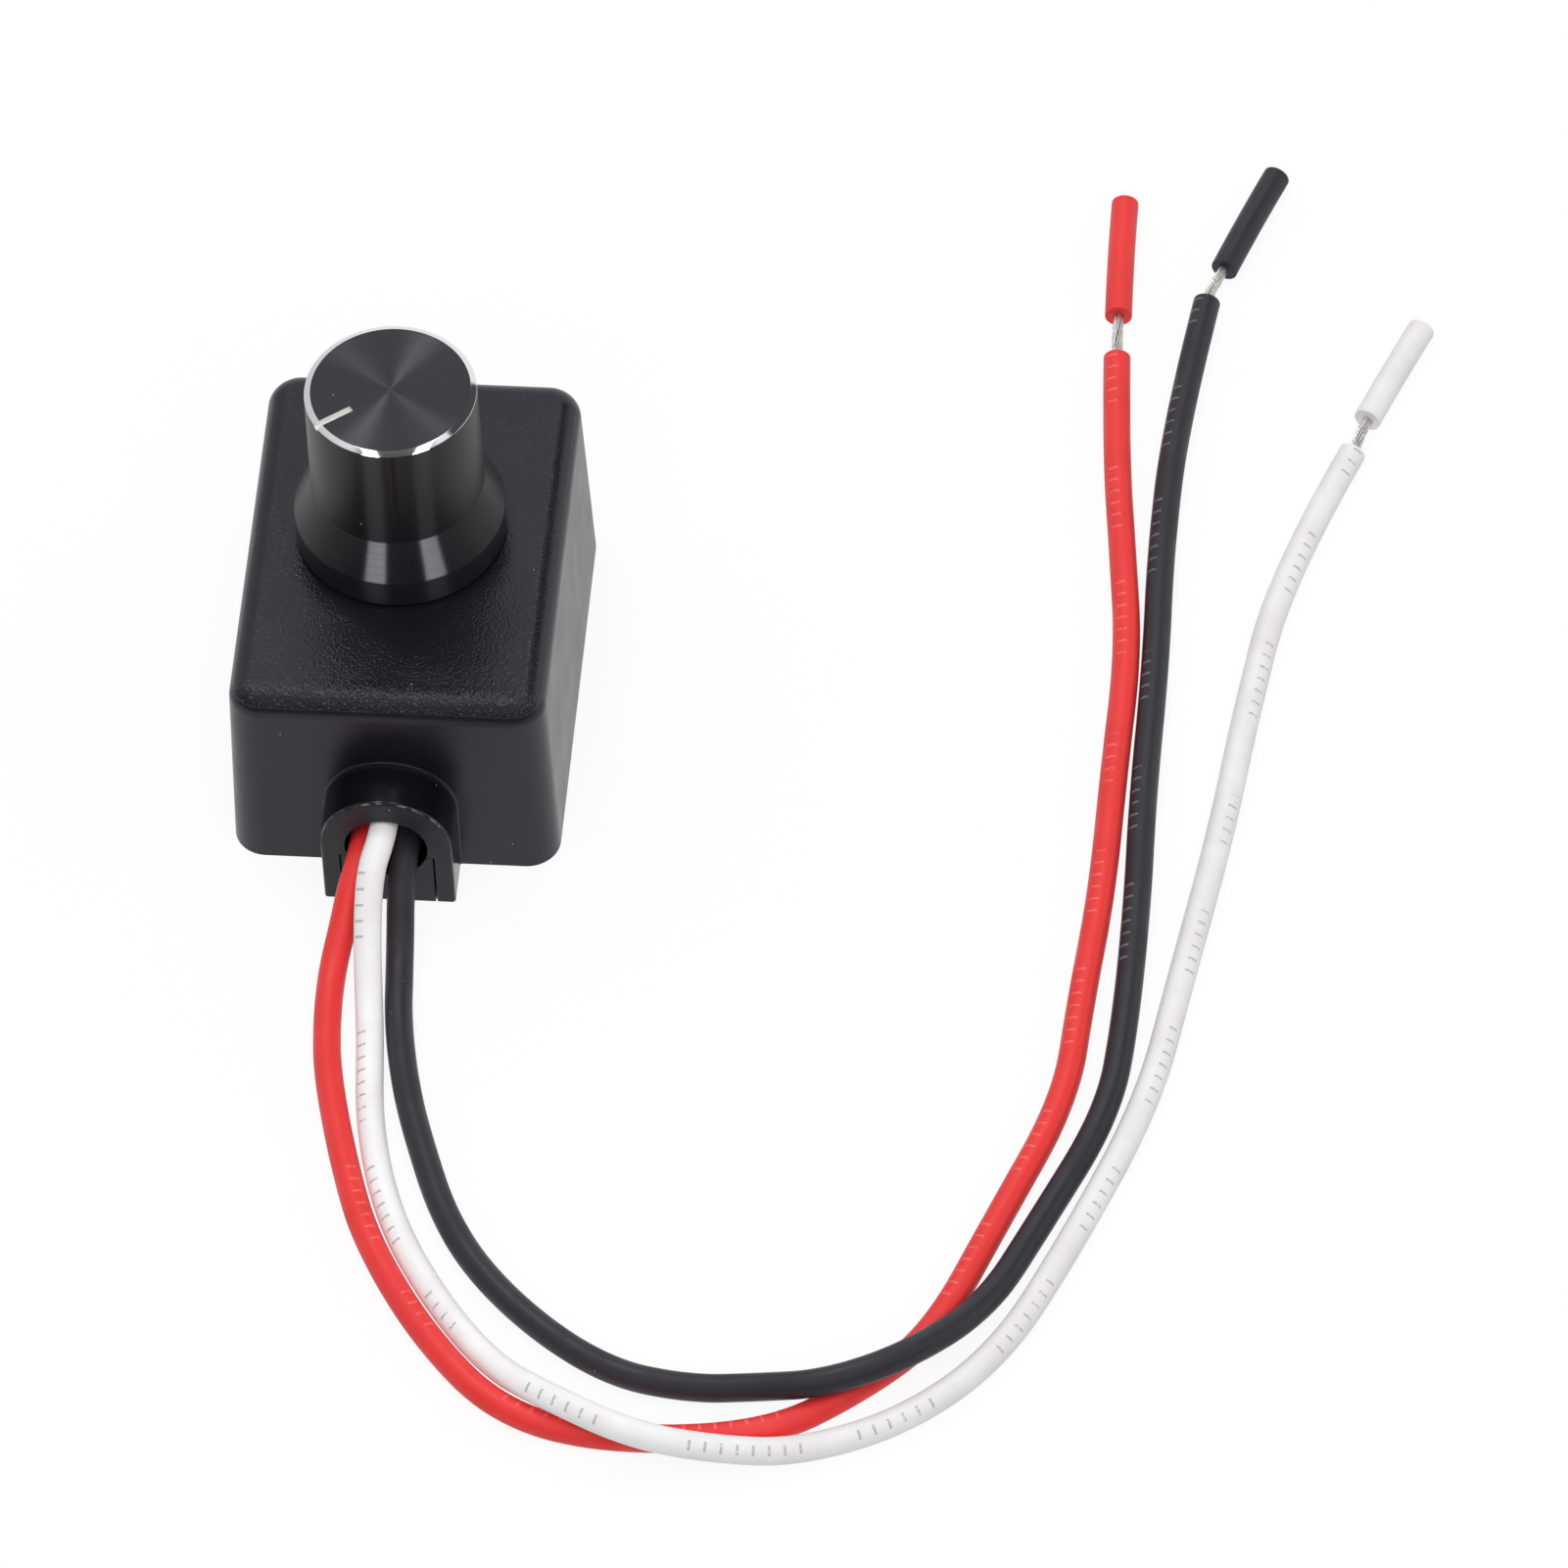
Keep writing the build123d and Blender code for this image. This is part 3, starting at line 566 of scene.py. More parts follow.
def silicone(name, near, far, dust_size, through=0.0, ink=None, **ink_place):
    """Satin rubber that dulls along the lead, with dust and a worn line of printed ticks."""
    finish, tree, shader = new_finish(name, near, SATIN)
    shader.inputs["Specular IOR Level"].default_value = SATIN_LEVEL
    place = object_place(tree)
    along = node(tree, "Attribute", attribute_name="along").outputs["Fac"]
    body = blend_colours(tree, ramp(tree, along, DULL_FROM, DULL_TO), near, far)
    cloud = ramp(tree, noise(tree, place, CLOUD_SCALE, 4.0), 0.3, 0.75)
    body = blend_colours(tree, cloud, body, CLOUD_TINT, "MULTIPLY")
    if ink:
        body = blend_colours(tree, use_group(tree, ticks, **ink_place)["Mask"], body, ink)
    specks = use_group(tree, dust, Size=dust_size)["Mask"]
    body = blend_colours(tree, specks, body, LEAD_DUST)
    paint(tree, shader, body, ramp(tree, cloud, 0.0, 1.0, 0.38, 0.52))
    # painted glow: white silicone shines with a little of its own colour, which lifts its shaded side
    if through:
        tree.links.new(body, shader.inputs["Emission Color"])
        shader.inputs["Emission Strength"].default_value = through
    roughen(tree, shader, noise(tree, place, SKIN_SCALE, 3.0), SKIN_DEPTH, SKIN_STRENGTH)
    return finish


# %% Finishes of the leads
TARNISH_SCALE = 900.0
shades = {
    # near the box and at the far end, and the strength of white's painted glow
    "red": dict(near=(0.82, 0.038, 0.037), far=(0.81, 0.04, 0.038), dust_size=0.012),
    "black": dict(near=(0.024, 0.0232, 0.0305), far=(0.025, 0.0238, 0.0315), dust_size=0.02),
    "white": dict(near=(0.87, 0.865, 0.87), far=(0.775, 0.765, 0.78), dust_size=0.008, through=0.06),
}
prints = {
    # the ink, how far up and left on the lead its line lies, and where it starts
    "red": dict(ink=(0.86, 0.12, 0.11), Top=0.94, Left=0.34, Start=36 * MM),
    "black": dict(ink=(0.14, 0.14, 0.15), Top=0.8, Left=0.6, Start=130 * MM),
    "white": dict(ink=(0.48, 0.46, 0.45), Top=0.8, Left=-0.6),
}
lead_finishes, tip_finishes = {}, {}
for colour, shade in shades.items():
    lead_finishes[colour] = silicone(colour + "_silicone", **shade, **prints[colour])
    tip_finishes[colour] = silicone(colour + "_tip_silicone", **{**shade, "near": shade["far"]})
tinned, tree, shader = new_finish("tinned_strands", (0.8, 0.78, 0.75), 0.3, metallic=1.0)
dull = ramp(tree, noise(tree, object_place(tree), TARNISH_SCALE), 0.3, 0.7)
paint(tree, shader, blend_colours(tree, dull, (0.86, 0.84, 0.81), (0.7, 0.68, 0.65)),
      ramp(tree, dull, 0.0, 1.0, 0.22, 0.36))


def dress(piece, *finishes):
    """Gives a piece its finishes in place of any it has."""
    piece.data.materials.clear()
    for finish in finishes:
        piece.data.materials.append(finish)


for colour in routes:
    dress(leads[colour], lead_finishes[colour])
    dress(sleeves[colour], tip_finishes[colour])
    dress(bundles[colour], tinned)
print("dressed", 3 * len(routes), "pieces of lead")

# %% [markdown]
# ## The moulded case
# The case and its cover have the right shape in the solids, but their triangles are loose and would
# show as facets on the rounds. A copy of each has its points merged and is shaded smooth up to a
# corner's angle. Weighted normals keep the large flat walls flat next to the small rounds.

# %% Smooth copies of the case and its cover
CORNER = radians(32)         # steps steeper than this stay sharp
MERGE = 0.002 * MM


def smooth_copy(source, name):
    """Copy of a solid's mesh with merged points and smooth rounds."""
    copy = bpy.data.objects.new(name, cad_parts[source].data.copy())
    bpy.context.scene.collection.objects.link(copy)
    pick_alone(copy)
    bpy.ops.object.mode_set(mode="EDIT")
    bpy.ops.mesh.select_all(action="SELECT")
    bpy.ops.mesh.remove_doubles(threshold=MERGE)
    bpy.ops.mesh.customdata_custom_splitnormals_clear()
    bpy.ops.object.mode_set(mode="OBJECT")
    bpy.ops.object.shade_smooth_by_angle(angle=CORNER)
    bpy.ops.object.modifier_add(type="WEIGHTED_NORMAL")
    bpy.context.object.modifiers[-1].keep_sharp = True
    bpy.ops.object.modifier_apply(modifier=bpy.context.object.modifiers[-1].name)
    return copy


case = smooth_copy("case_shell", "moulded_case")
cover = smooth_copy("base_cover", "moulded_cover")
for piece, source in ((case, "case_shell"), (cover, "base_cover")):
    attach(piece, "housing")
    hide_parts(source)
    print(piece.name, len(piece.data.polygons), "triangles")

# %% [markdown]
# ## Black moulded plastic
# The mould is spark eroded, so the plastic has a fine even grain on its top. It is deepest along the
# front edge, where painted glints on its peaks make it sparkle. The walls are a smoother satin, the
# hood is made darker with painted shade and its matt face has a painted highlight along its rim, and a
# few specks of dust lie on everything.
# An image could hold all this, but masks made from heights and distances stay sharp and follow the
# solid's own edges.

# %% Places on the case
FRONT_ROUND = -15.7 * MM     # where the front edge starts to round over
FRONT_WALL = -18.3 * MM
GRAIN_LINE = 17.75 * MM      # the mould's grained half ends here, on the round
plastic, tree, shader = new_finish("grained_black_plastic", (0.008, 0.008, 0.013), 0.28)
place = object_place(tree)
x, y, z = split(tree, place)
above = ramp(tree, z, GRAIN_LINE - 0.04 * MM, GRAIN_LINE + 0.04 * MM)
below = ramp(tree, z, GRAIN_LINE + 0.2 * MM, GRAIN_LINE - 0.2 * MM)
past_round = ramp(tree, y, FRONT_ROUND + 0.8 * MM, FRONT_ROUND - 0.4 * MM)
front_edge = product(tree, above, past_round)
hood = ramp(tree, y, FRONT_WALL, FRONT_WALL - 0.3 * MM)
hood_face = ramp(tree, y, HOOD_FRONT + 0.2 * MM, HOOD_FRONT + 0.05 * MM)
walls = product(tree, below, calc(tree, "SUBTRACT", 1.0, hood))
grained = calc(tree, "MAXIMUM", above, hood_face)
print("masks of the front edge, the walls, the hood and the grain")

# %% Painted highlight on the hood's rim
HOOD_MIDDLE = 6.8 * MM       # height of the arch's centre
RIM_RADIUS = 5.2 * MM
RIM_BREAK_SCALE = 1500.0
rise = calc(tree, "SUBTRACT", z, HOOD_MIDDLE)
off_rim = calc(tree, "ABSOLUTE", calc(tree, "SUBTRACT", hypotenuse(tree, x, rise), RIM_RADIUS))
near_rim = ramp(tree, off_rim, 0.08 * MM, 0.02 * MM)
at_front = ramp(tree, y, HOOD_FRONT + 0.3 * MM, HOOD_FRONT + 0.1 * MM)
upper = ramp(tree, rise, 0.0, 2.5 * MM)
# painted highlight: a thin bright line along the top of the hood's front rim, broken into dashes by
# noise
highlighted = ramp(tree, noise(tree, place, RIM_BREAK_SCALE, 4.0), 0.45, 0.62)
rim_highlight = product(tree, near_rim, at_front, upper, highlighted)
print("mask of the rubbed rim, %.1f mm from the arch's centre" % (RIM_RADIUS / MM))

# %% Case plastic
WALL_ROUGHER, HOOD_ROUGHER = 0.1, 0.24
HOOD_GLINTS = 0.3            # of the front edge's
EDGE_DEEPER = 1.1
PIT_DEPTH, PIT_STRENGTH = 0.05 * MM, 0.85
shader.inputs["Specular IOR Level"].default_value = 0.48
shader.inputs["Specular Tint"].default_value = (0.86, 0.89, 1.0, 1)
sparks = use_group(tree, grain)
specks = use_group(tree, dust)["Mask"]
# where the painted glints go: the front edge, and faintly the hood's face
glint_zone = calc(tree, "MAXIMUM", front_edge, product(tree, hood_face, HOOD_GLINTS))
body = blend_colours(tree, sparks["Patches"], (0.0078, 0.008, 0.0118), (0.0102, 0.0104, 0.0148))
for share, colour in (
    # painted shade: the hood is darker than the rest of the same plastic
    (hood, (0.0045, 0.0046, 0.0068)),
    # painted glints on the grain's peaks
    (product(tree, sparks["Glints"], glint_zone), (0.08, 0.08, 0.085)),
    # painted highlight along the hood's rim
    (rim_highlight, (0.16, 0.16, 0.16)),
    (specks, (0.6, 0.6, 0.6)),
):
    body = blend_colours(tree, share, body, colour)
shine = ramp(tree, sparks["Patches"], 0.2, 0.8, 0.16, 0.22)
shine = calc(tree, "MULTIPLY_ADD", walls, WALL_ROUGHER, shine)
paint(tree, shader, body, calc(tree, "MULTIPLY_ADD", hood_face, HOOD_ROUGHER, shine))
depth = calc(tree, "MULTIPLY_ADD", front_edge, EDGE_DEEPER, ramp(tree, grained, 0.0, 1.0, 0.1, 0.5))
roughen(tree, shader, product(tree, sparks["Height"], depth), PIT_DEPTH, PIT_STRENGTH)
for piece in (case, cover):
    dress(piece, plastic)
print("case and cover in", plastic.name)

# %% [markdown]
# ## The turned knob
# The knob is turned from aluminium bar: a skirt, a flare, a long slightly tapered grip and a bright
# chamfer round a flat crown. Turning is done here in the same order, by pulling one ring of points
# along the profile. The pointer line is milled after that, as a cut with a narrow block.

# %% Knob profile
AXIS = Vector((-0.4, 1.2, 0.0))
TURN_STEPS = 180
BLANK_RADIUS, BLANK_HEIGHT = 5.5, 33.6   # ceiling of the hollow, where the turning starts
CROWN_TOP = 35.6
profile = [
    (BLANK_RADIUS, 22.1), (7.2, 22.1), (7.2, 19.05), (7.35, 18.9), (8.3, 18.9),
    (8.44, 18.96), (8.5, 19.1), (8.5, 21.62), (8.47, 21.72), (7.04, 24.8),
    (7.0, 24.95), (6.9, 35.38), (6.88, 35.42), (6.46, 35.59), (6.42, CROWN_TOP),
]
bpy.ops.object.select_all(action="DESELECT")
bpy.ops.mesh.primitive_circle_add(
    vertices=TURN_STEPS, radius=BLANK_RADIUS * MM, fill_type="NGON",
    location=(AXIS + Vector((0, 0, BLANK_HEIGHT))) * MM)
knob = bpy.context.object
knob.name = "turned_knob"
bpy.ops.object.transform_apply(location=True, rotation=True, scale=True)
bpy.ops.object.mode_set(mode="EDIT")
bpy.ops.mesh.select_mode(type="EDGE")
bpy.ops.mesh.select_all(action="SELECT")
bpy.ops.mesh.region_to_loop()
radius, height = BLANK_RADIUS, BLANK_HEIGHT
for next_radius, next_height in profile:
    bpy.ops.mesh.extrude_edges_move(
        TRANSFORM_OT_translate={"value": (0, 0, (next_height - height) * MM)})
    grow = next_radius / radius
    bpy.ops.transform.resize(
        value=(grow, grow, 1), center_override=(AXIS + Vector((0, 0, next_height))) * MM)
    radius, height = next_radius, next_height
bpy.ops.mesh.edge_face_add()
bpy.ops.mesh.select_all(action="SELECT")
bpy.ops.mesh.normals_make_consistent(inside=False)
bpy.ops.object.mode_set(mode="OBJECT")
print("knob blank:", len(knob.data.polygons), "faces")

# %% Pointer line
POINTER_ANGLE = radians(216.0)
POINTER_START, POINTER_END = 3.6, 8.0
POINTER_WIDTH, POINTER_DEPTH = 0.55, 0.45
pointer_way = Vector((cos(POINTER_ANGLE), sin(POINTER_ANGLE), 0))
cut_middle = AXIS + pointer_way * (POINTER_START + POINTER_END) / 2 + Vector((0, 0, CROWN_TOP))
bpy.ops.object.select_all(action="DESELECT")
bpy.ops.mesh.primitive_cube_add(size=1.0, location=cut_middle * MM, rotation=(0, 0, POINTER_ANGLE))
cutter = bpy.context.object
cutter.scale = ((POINTER_END - POINTER_START) * MM, POINTER_WIDTH * MM, 2 * POINTER_DEPTH * MM)
bpy.ops.object.transform_apply(location=True, rotation=True, scale=True)
pick_alone(knob)
bpy.ops.object.modifier_add(type="BOOLEAN")
milling = knob.modifiers[-1]
milling.operation = "DIFFERENCE"
milling.solver = "EXACT"
milling.object = cutter
bpy.ops.object.modifier_apply(modifier=milling.name)
bpy.data.objects.remove(cutter)
bpy.ops.object.shade_smooth_by_angle(angle=radians(14))
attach(knob, "knob")
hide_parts("knob_shell")
print("knob:", len(knob.data.polygons), "faces")

# %% [markdown]
# ## Black anodised metal and bright cuts
# Fine turning lines run round the knob, so its shine is stretched across them: the crown shows pairs
# of bright rays and the flare shows tall streaks. An anisotropic shader with a tangent that runs round
# the axis gives this, and a noise that only changes along the profile draws the lines themselves. The
# chamfer and the pointer were cut after anodising, so they are bare bright metal.

# %% Turned black metal
SKIRT_TOP = 21.6 * MM
LINE_SCALE = 9000.0
LINE_SHINE = 0.03            # how far a line's roughness goes up and down
ACROSS = 0.25                # a quarter turn, so that the shine spreads across the lines
# the third tint is painted light: it lifts the skirt against the shade it lies in
DARK_LINE, PALE_LINE, SKIRT_PAINTED_LIGHT = (0.8, 0.77, 1.1), (1.2, 1.17, 1.6), (2.0, 1.95, 2.5)
KNOB_DUST = (0.55, 0.55, 0.55)


def turned_black(name, shade, ior, roughness, stretch, line_depth):
    """Black anodised metal with fine turning lines round the knob's axis."""
    dark, pale, skirt_painted_light = (
        tuple(part * shade for part in tint) for tint in (DARK_LINE, PALE_LINE, SKIRT_PAINTED_LIGHT))
    finish, tree, shader = new_finish(name, dark, roughness)
    shader.inputs["IOR"].default_value = ior
    shader.inputs["Anisotropic"].default_value = stretch
    shader.inputs["Anisotropic Rotation"].default_value = ACROSS
    shader.inputs["Specular Tint"].default_value = (0.95, 0.93, 1.0, 1)
    round_way = node(tree, "Tangent", direction_type="RADIAL", axis="Z")
    tree.links.new(round_way.outputs["Tangent"], shader.inputs["Tangent"])
    centred = node(tree, "Mapping")
    centred.inputs["Location"].default_value = tuple(-AXIS * MM)
    tree.links.new(object_place(tree), centred.inputs["Vector"])
    x, y, z = split(tree, centred.outputs["Vector"])
    turning = node(tree, "TexNoise", noise_dimensions="1D")
    turning.inputs["Scale"].default_value = LINE_SCALE
    turning.inputs["Detail"].default_value = 3.0
    tree.links.new(calc(tree, "ADD", hypotenuse(tree, x, y), z), turning.inputs["W"])
    turned = turning.outputs["Fac"]
    body = blend_colours(tree, turned, dark, pale)
    # painted light: the skirt, low down and shaded by the case top, is given a lighter colour
    skirt = ramp(tree, z, SKIRT_TOP + 0.1 * MM, SKIRT_TOP - 0.1 * MM)
    body = blend_colours(tree, skirt, body, skirt_painted_light)
    specks = use_group(tree, dust, Scale=380.0, Size=0.03)["Mask"]
    body = blend_colours(tree, specks, body, KNOB_DUST)
    shine = ramp(tree, turned, 0.2, 0.8, roughness - LINE_SHINE, roughness + LINE_SHINE)
    paint(tree, shader, body, shine)
    roughen(tree, shader, turned, line_depth * MM, 0.5)
    return finish


side_finish = turned_black(
    "turned_black_side", shade=0.0068, ior=1.4, roughness=0.24, stretch=0.97, line_depth=0.001)
crown_finish = turned_black(
    "faced_black_crown", shade=0.014, ior=1.52, roughness=0.23, stretch=0.99, line_depth=0.0003)
print("turned metal:", side_finish.name, "and", crown_finish.name)

# %% Bright cuts
CHATTER_SCALE, FLECK_SCALE = 5200.0, 4200.0
bright, tree, shader = new_finish("bright_cut_aluminium", (0.86, 0.86, 0.88), 0.14, metallic=1.0)
chatter = noise(tree, object_place(tree), CHATTER_SCALE)
paint(tree, shader, blend_colours(tree, chatter, (0.90, 0.90, 0.92), (0.96, 0.96, 0.97)),
      ramp(tree, chatter, 0.2, 0.8, 0.04, 0.09))
pointer_fill, tree, shader = new_finish("silver_pointer", (0.9, 0.89, 0.87), 0.4)
flecks = ramp(tree, noise(tree, object_place(tree), FLECK_SCALE, 3.0), 0.3, 0.7)
paint(tree, shader, blend_colours(tree, flecks, (0.86, 0.85, 0.83), (0.74, 0.73, 0.71)),
      ramp(tree, flecks, 0.0, 1.0, 0.3, 0.5))
print("bright cuts:", bright.name, "and", pointer_fill.name)

# %% Finishes on the knob's faces
SIDE, CHAMFER, GROOVE, CROWN = range(4)
CHAMFER_LOW, CHAMFER_HIGH = 35.37, 35.595
CROWN_LOW = CROWN_TOP - 0.005
HAIR = 0.01                  # slack round the pointer's groove
dress(knob, side_finish, bright, pointer_fill, crown_finish)
for face in knob.data.polygons:
    middle = face.center / MM
    out_way = middle - AXIS
    far = out_way.dot(pointer_way)
    aside = abs(out_way.x * pointer_way.y - out_way.y * pointer_way.x)
    in_line = POINTER_START - HAIR < far < POINTER_END and aside < POINTER_WIDTH / 2 + HAIR
    face.material_index = SIDE
    if in_line and CROWN_TOP - POINTER_DEPTH - HAIR < middle.z < CROWN_LOW:
        face.material_index = GROOVE
    elif middle.z > CROWN_LOW:
        face.material_index = CROWN
    elif CHAMFER_LOW < middle.z < CHAMFER_HIGH and face.normal.z > 0.3:
        face.material_index = CHAMFER
print("bright faces:", sum(face.material_index != SIDE for face in knob.data.polygons))

# %% [markdown]
# ## The works inside
# The control, its nut and the board are hidden in the box, but whoever opens it meets them, so each
# solid gets its real finish: stamped steel, brass, die-cast metal, laminate, moulded chips and solder.
# One function writes them all, with an uneven colour, an uneven shine and a fine surface.

# %% Finishes of the inner parts
CLOUD_SHADE = 0.78           # colour of the dark clouds, against the finish's own
CLOUD_SHINE = 0.08
GRAIN_FINER = 6              # than the clouds


def worked(name, colour, roughness, metallic, scale, depth):
    """Plain workshop finish: cloudy colour, uneven shine and a fine grain."""
    finish, tree, shader = new_finish(name, colour, roughness, metallic)
    place = object_place(tree)
    cloud = noise(tree, place, scale, 4.0)
    darker = tuple(CLOUD_SHADE * part for part in colour)
    paint(tree, shader, blend_colours(tree, ramp(tree, cloud, 0.3, 0.7), colour, darker),
          ramp(tree, cloud, 0.2, 0.8, roughness - CLOUD_SHINE, roughness + CLOUD_SHINE))
    roughen(tree, shader, noise(tree, place, GRAIN_FINER * scale, 3.0), depth * MM, 0.5)
    return finish


inner_finishes = {
    # name, colour, roughness, metallic, scale of the clouds, and depth of the grain in millimetres
    "steel": worked("stamped_steel", (0.56, 0.56, 0.55), 0.34, 1.0, 900.0, 0.01),
    "brass": worked("spring_brass", (0.78, 0.60, 0.30), 0.32, 1.0, 900.0, 0.006),
    "cast": worked("die_cast_metal", (0.50, 0.50, 0.51), 0.45, 1.0, 700.0, 0.02),
    "control": worked("black_control_plastic", (0.02, 0.02, 0.02), 0.5, 0.0, 500.0, 0.02),
    "insert": worked("white_insert_plastic", (0.70, 0.70, 0.66), 0.45, 0.0, 500.0, 0.015),
    "wafer": worked("brown_laminate", (0.24, 0.13, 0.06), 0.5, 0.0, 700.0, 0.015),
    "chip": worked("moulded_chip", (0.025, 0.025, 0.027), 0.5, 0.0, 1500.0, 0.012),
    "can": worked("drawn_can", (0.72, 0.72, 0.73), 0.3, 1.0, 700.0, 0.006),
    "ceramic": worked("tan_ceramic", (0.52, 0.38, 0.24), 0.5, 0.0, 1600.0, 0.008),
    "solder": worked("solder", (0.66, 0.66, 0.66), 0.22, 1.0, 1200.0, 0.012),
}
print(len(inner_finishes), "finishes for the inner parts")

# %% Board with copper under green resist
LANE_SCALE, COPPER_DEPTH = 140.0, 0.03 * MM
board, tree, shader = new_finish("green_board", (0.02, 0.11, 0.05), 0.35)
lanes = node(tree, "TexBrick")
tree.links.new(object_place(tree), lanes.inputs["Vector"])
lanes.inputs["Scale"].default_value = LANE_SCALE
copper = lanes.outputs["Fac"]
tree.links.new(blend_colours(tree, copper, (0.035, 0.16, 0.07), (0.014, 0.085, 0.035)),
               shader.inputs["Base Color"])
roughen(tree, shader, copper, COPPER_DEPTH, 0.6)
print("board:", board.name)

# %% Inner parts dressed
inner_nodes = {
    "steel": ["pot_washer", "pot_nut", "pot_shaft"],
    "brass": ["pot_wiper"],
    "cast": ["pot_bushing"],
    "control": ["pot_housing", "pot_rotor"],
    "insert": ["knob_core"],
    "wafer": ["pot_wafer"],
    "chip": ["power_transistor", "timer_chip", "voltage_regulator", "clamp_diode", "chip_resistors"],
    "can": ["electrolytic_capacitor"],
    "ceramic": ["chip_capacitors"],
    "solder": ["solder_joints", "pot_terminals"],
}
for finish, names in inner_nodes.items():
    for name in names:
        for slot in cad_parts[name].material_slots:
            slot.material = inner_finishes[finish]
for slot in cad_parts["circuit_board"].material_slots:
    slot.material = board
print("dressed", 1 + sum(len(names) for names in inner_nodes.values()), "inner parts")

# %% [markdown]
# ## The table and the light
# The dimmer lies on a sheet lit to plain white, which glows a little so that it also mirrors white in
# the walls, except under the box. Two strips hang overhead, each with a bright far length and a dim
# near one, and draw the rays on the crown. Two boxes stand low at the front and are shaded off so that
# only the knob mirrors them. The room adds soft light from behind and from high in front, a dark flag
# stands at the back right, and a large ceiling fills in without showing in any reflection.

# %% Floor
TABLE_MIDDLE = (0.04, 0.03, 0.0)
TABLE_WIDTH = 0.30
PAPER = (0.9, 0.9, 0.9, 1)
GLOW_SHARE = 0.9             # of the paper's white that is its own glow
ROOM_GLOW, CAMERA_GLOW = 0.8, 1.0
BOX_FOOT = (0.0, 12.3, 17.3)     # middle along Y, half width and half length, in millimetres
OUTLET_FOOT = (-10.2, 5.3, 12.0)
SOFT_EDGE = 0.5              # of both, in millimetres
bpy.ops.object.select_all(action="DESELECT")
bpy.ops.mesh.primitive_plane_add(size=TABLE_WIDTH, location=TABLE_MIDDLE)
floor = bpy.context.object
floor.name = "floor"
bpy.ops.object.transform_apply(location=True, rotation=True, scale=True)
paper = bpy.data.materials.new("white_paper")
paper.use_nodes = True
tree = paper.node_tree
tree.nodes.clear()
matt, glow, mixed = node(tree, "BsdfDiffuse"), node(tree, "Emission"), node(tree, "MixShader")
matt.inputs["Color"].default_value = PAPER
seen = node(tree, "LightPath").outputs["Is Camera Ray"]
glow_level = calc(tree, "MULTIPLY_ADD", seen, CAMERA_GLOW - ROOM_GLOW, ROOM_GLOW)
tree.links.new(glow_level, glow.inputs["Strength"])
x, y, _ = split(tree, object_place(tree))


def under(middle, half_width, half_length):
    """Mask of a rectangle of the table that the box stands on, in millimetres."""
    aside = calc(tree, "ABSOLUTE", x)
    off = calc(tree, "ABSOLUTE", calc(tree, "SUBTRACT", y, middle * MM))
    return product(tree, ramp(tree, aside, half_width * MM, (half_width - SOFT_EDGE) * MM),
                   ramp(tree, off, half_length * MM, (half_length - SOFT_EDGE) * MM))


covered = calc(tree, "MAXIMUM", under(*BOX_FOOT), under(*OUTLET_FOOT))
tree.links.new(ramp(tree, covered, 0.0, 1.0, GLOW_SHARE, 0.0), mixed.inputs[0])
tree.links.new(matt.outputs[0], mixed.inputs[1])
tree.links.new(glow.outputs[0], mixed.inputs[2])
tree.links.new(mixed.outputs[0], node(tree, "OutputMaterial").inputs["Surface"])
dress(floor, paper)
print("floor: %.1f m" % TABLE_WIDTH)

# %% World
OVERHEAD, SKY = 0.14, 1.05   # levels straight above and lower down
FRONT_LOW, FRONT_HIGH = 0.12, 0.7   # levels in front, near the table and high up
FRONT_LEAST, LEFT_LEVEL = 0.03, 0.7
FLAG_WAY = Vector((0.504, 0.476, 0.72)).normalized()
FLAG_OUTER, FLAG_INNER, FLAG_LEVEL = radians(19.5), radians(17), 0.07
world = bpy.data.worlds.new("studio")
bpy.context.scene.world = world
world.use_nodes = True
tree = world.node_tree
tree.nodes.clear()
way = node(tree, "TexCoord").outputs["Generated"]
x, y, z = split(tree, way)
sky = ramp(tree, z, 0.985, 0.93, OVERHEAD, SKY)
behind = ramp(tree, y, -0.35, 0.1, FRONT_LEAST, 1.0)
front_soft = ramp(tree, z, 0.3, 0.6, FRONT_LOW, FRONT_HIGH)
to_flag = node(tree, "VectorMath", operation="DOT_PRODUCT")
tree.links.new(way, to_flag.inputs[0])
to_flag.inputs[1].default_value = FLAG_WAY
flag = ramp(tree, to_flag.outputs["Value"], cos(FLAG_OUTER), cos(FLAG_INNER), 1.0, FLAG_LEVEL)
left_dim = ramp(tree, x, -0.65, -0.15, LEFT_LEVEL, 1.0)
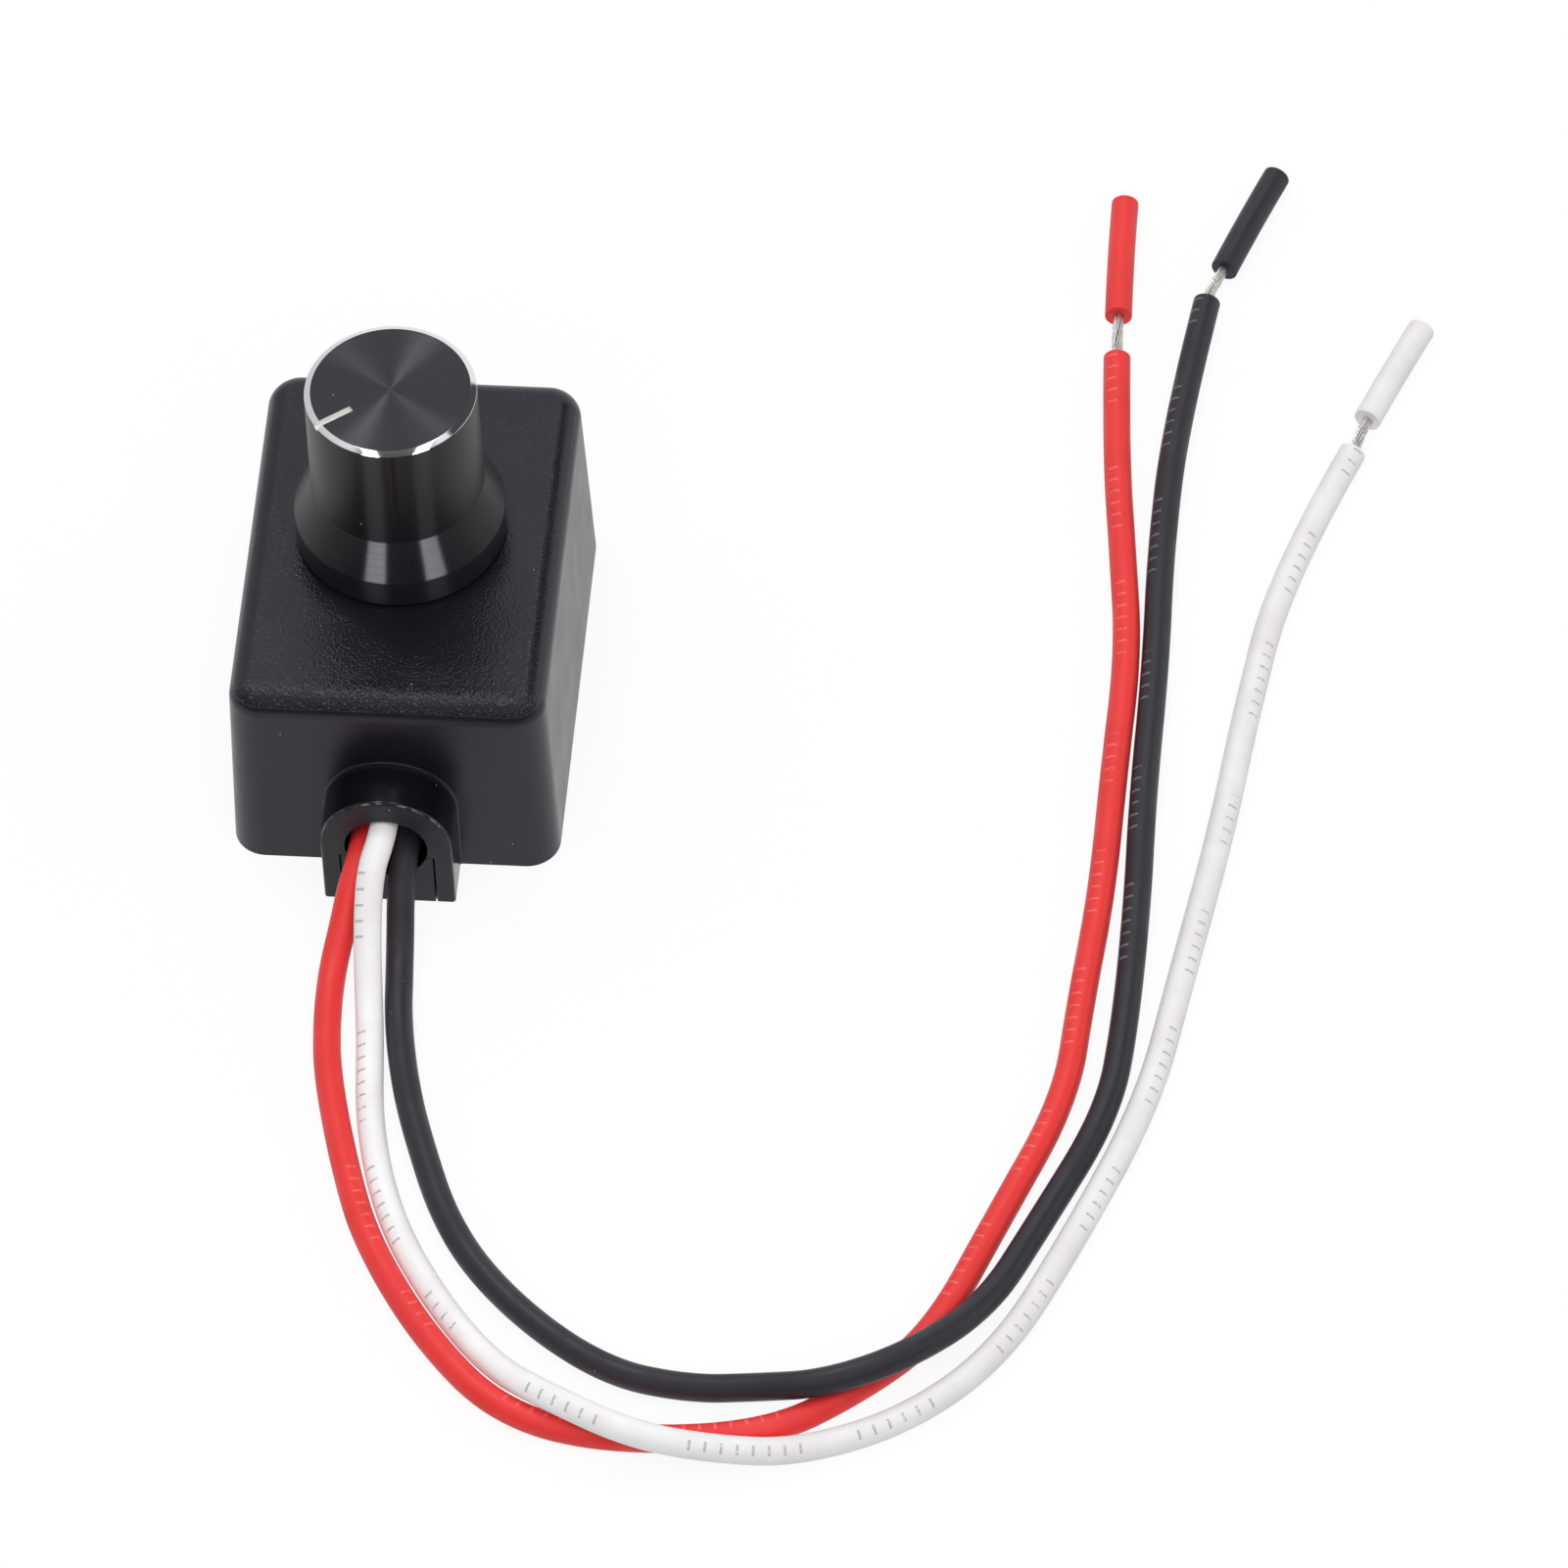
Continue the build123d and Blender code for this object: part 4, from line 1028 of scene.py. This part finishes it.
room = product(tree, sky, calc(tree, "MAXIMUM", behind, front_soft), flag, left_dim)
seen = node(tree, "LightPath").outputs["Is Camera Ray"]
backdrop = node(tree, "Background")
tree.links.new(calc(tree, "MAXIMUM", seen, room), backdrop.inputs["Strength"])
tree.links.new(backdrop.outputs[0], node(tree, "OutputWorld").inputs["Surface"])
print("world: soft light from behind and from high in front, dark overhead and at the flag")

# %% Lamps
lamps = [
    # name, place in metres, tilt and turn in degrees, width, length, brightness, and what it does:
    # both lights and is mirrored, shine is mirrored by the knob alone, fill lights and isn't mirrored
    ("left_strip_far", (-0.251, 0.396, 1.036), 0, 7.1, 0.121, 0.208, 15.0, "both"),
    ("left_strip_near", (-0.209, 0.065, 1.036), 0, 7.1, 0.121, 0.459, 1.9, "both"),
    ("right_strip_far", (0.158, 0.501, 1.036), 0, 7.1, 0.121, 0.153, 10.4, "both"),
    ("right_strip_near", (0.201, 0.157, 1.036), 0, 7.1, 0.121, 0.54, 2.5, "both"),
    ("front_left", (-0.354, -1.04, -0.02), 90, -18.8, 0.36, 0.42, 16.5, "shine"),
    ("front_right", (0.665, -0.876, -0.02), 90, 37.2, 0.36, 0.42, 18.2, "shine"),
    ("soft_ceiling", (0.1, -0.6, 1.15), 28, 7.1, 1.2, 1.2, 2.1, "fill"),
]
knob_alone = bpy.data.collections.new("knob_alone")
knob_alone.objects.link(knob)
for name, place, tilt, turn, width, length, brightness, service in lamps:
    light = bpy.data.lights.new(name, "AREA")
    light.shape = "RECTANGLE"
    light.size, light.size_y = width, length
    light.energy = brightness * pi * width * length
    lamp = bpy.data.objects.new(name, light)
    bpy.context.scene.collection.objects.link(lamp)
    lamp.location = place
    lamp.rotation_euler = (radians(tilt), 0, radians(turn))
    lamp.visible_camera = False
    lamp.visible_glossy = service != "fill"
    lamp.visible_diffuse = service != "shine"
    if service == "shine":
        lamp.light_linking.receiver_collection = knob_alone
bpy.context.scene.view_settings.view_transform = "Standard"
print(len(lamps), "lamps")
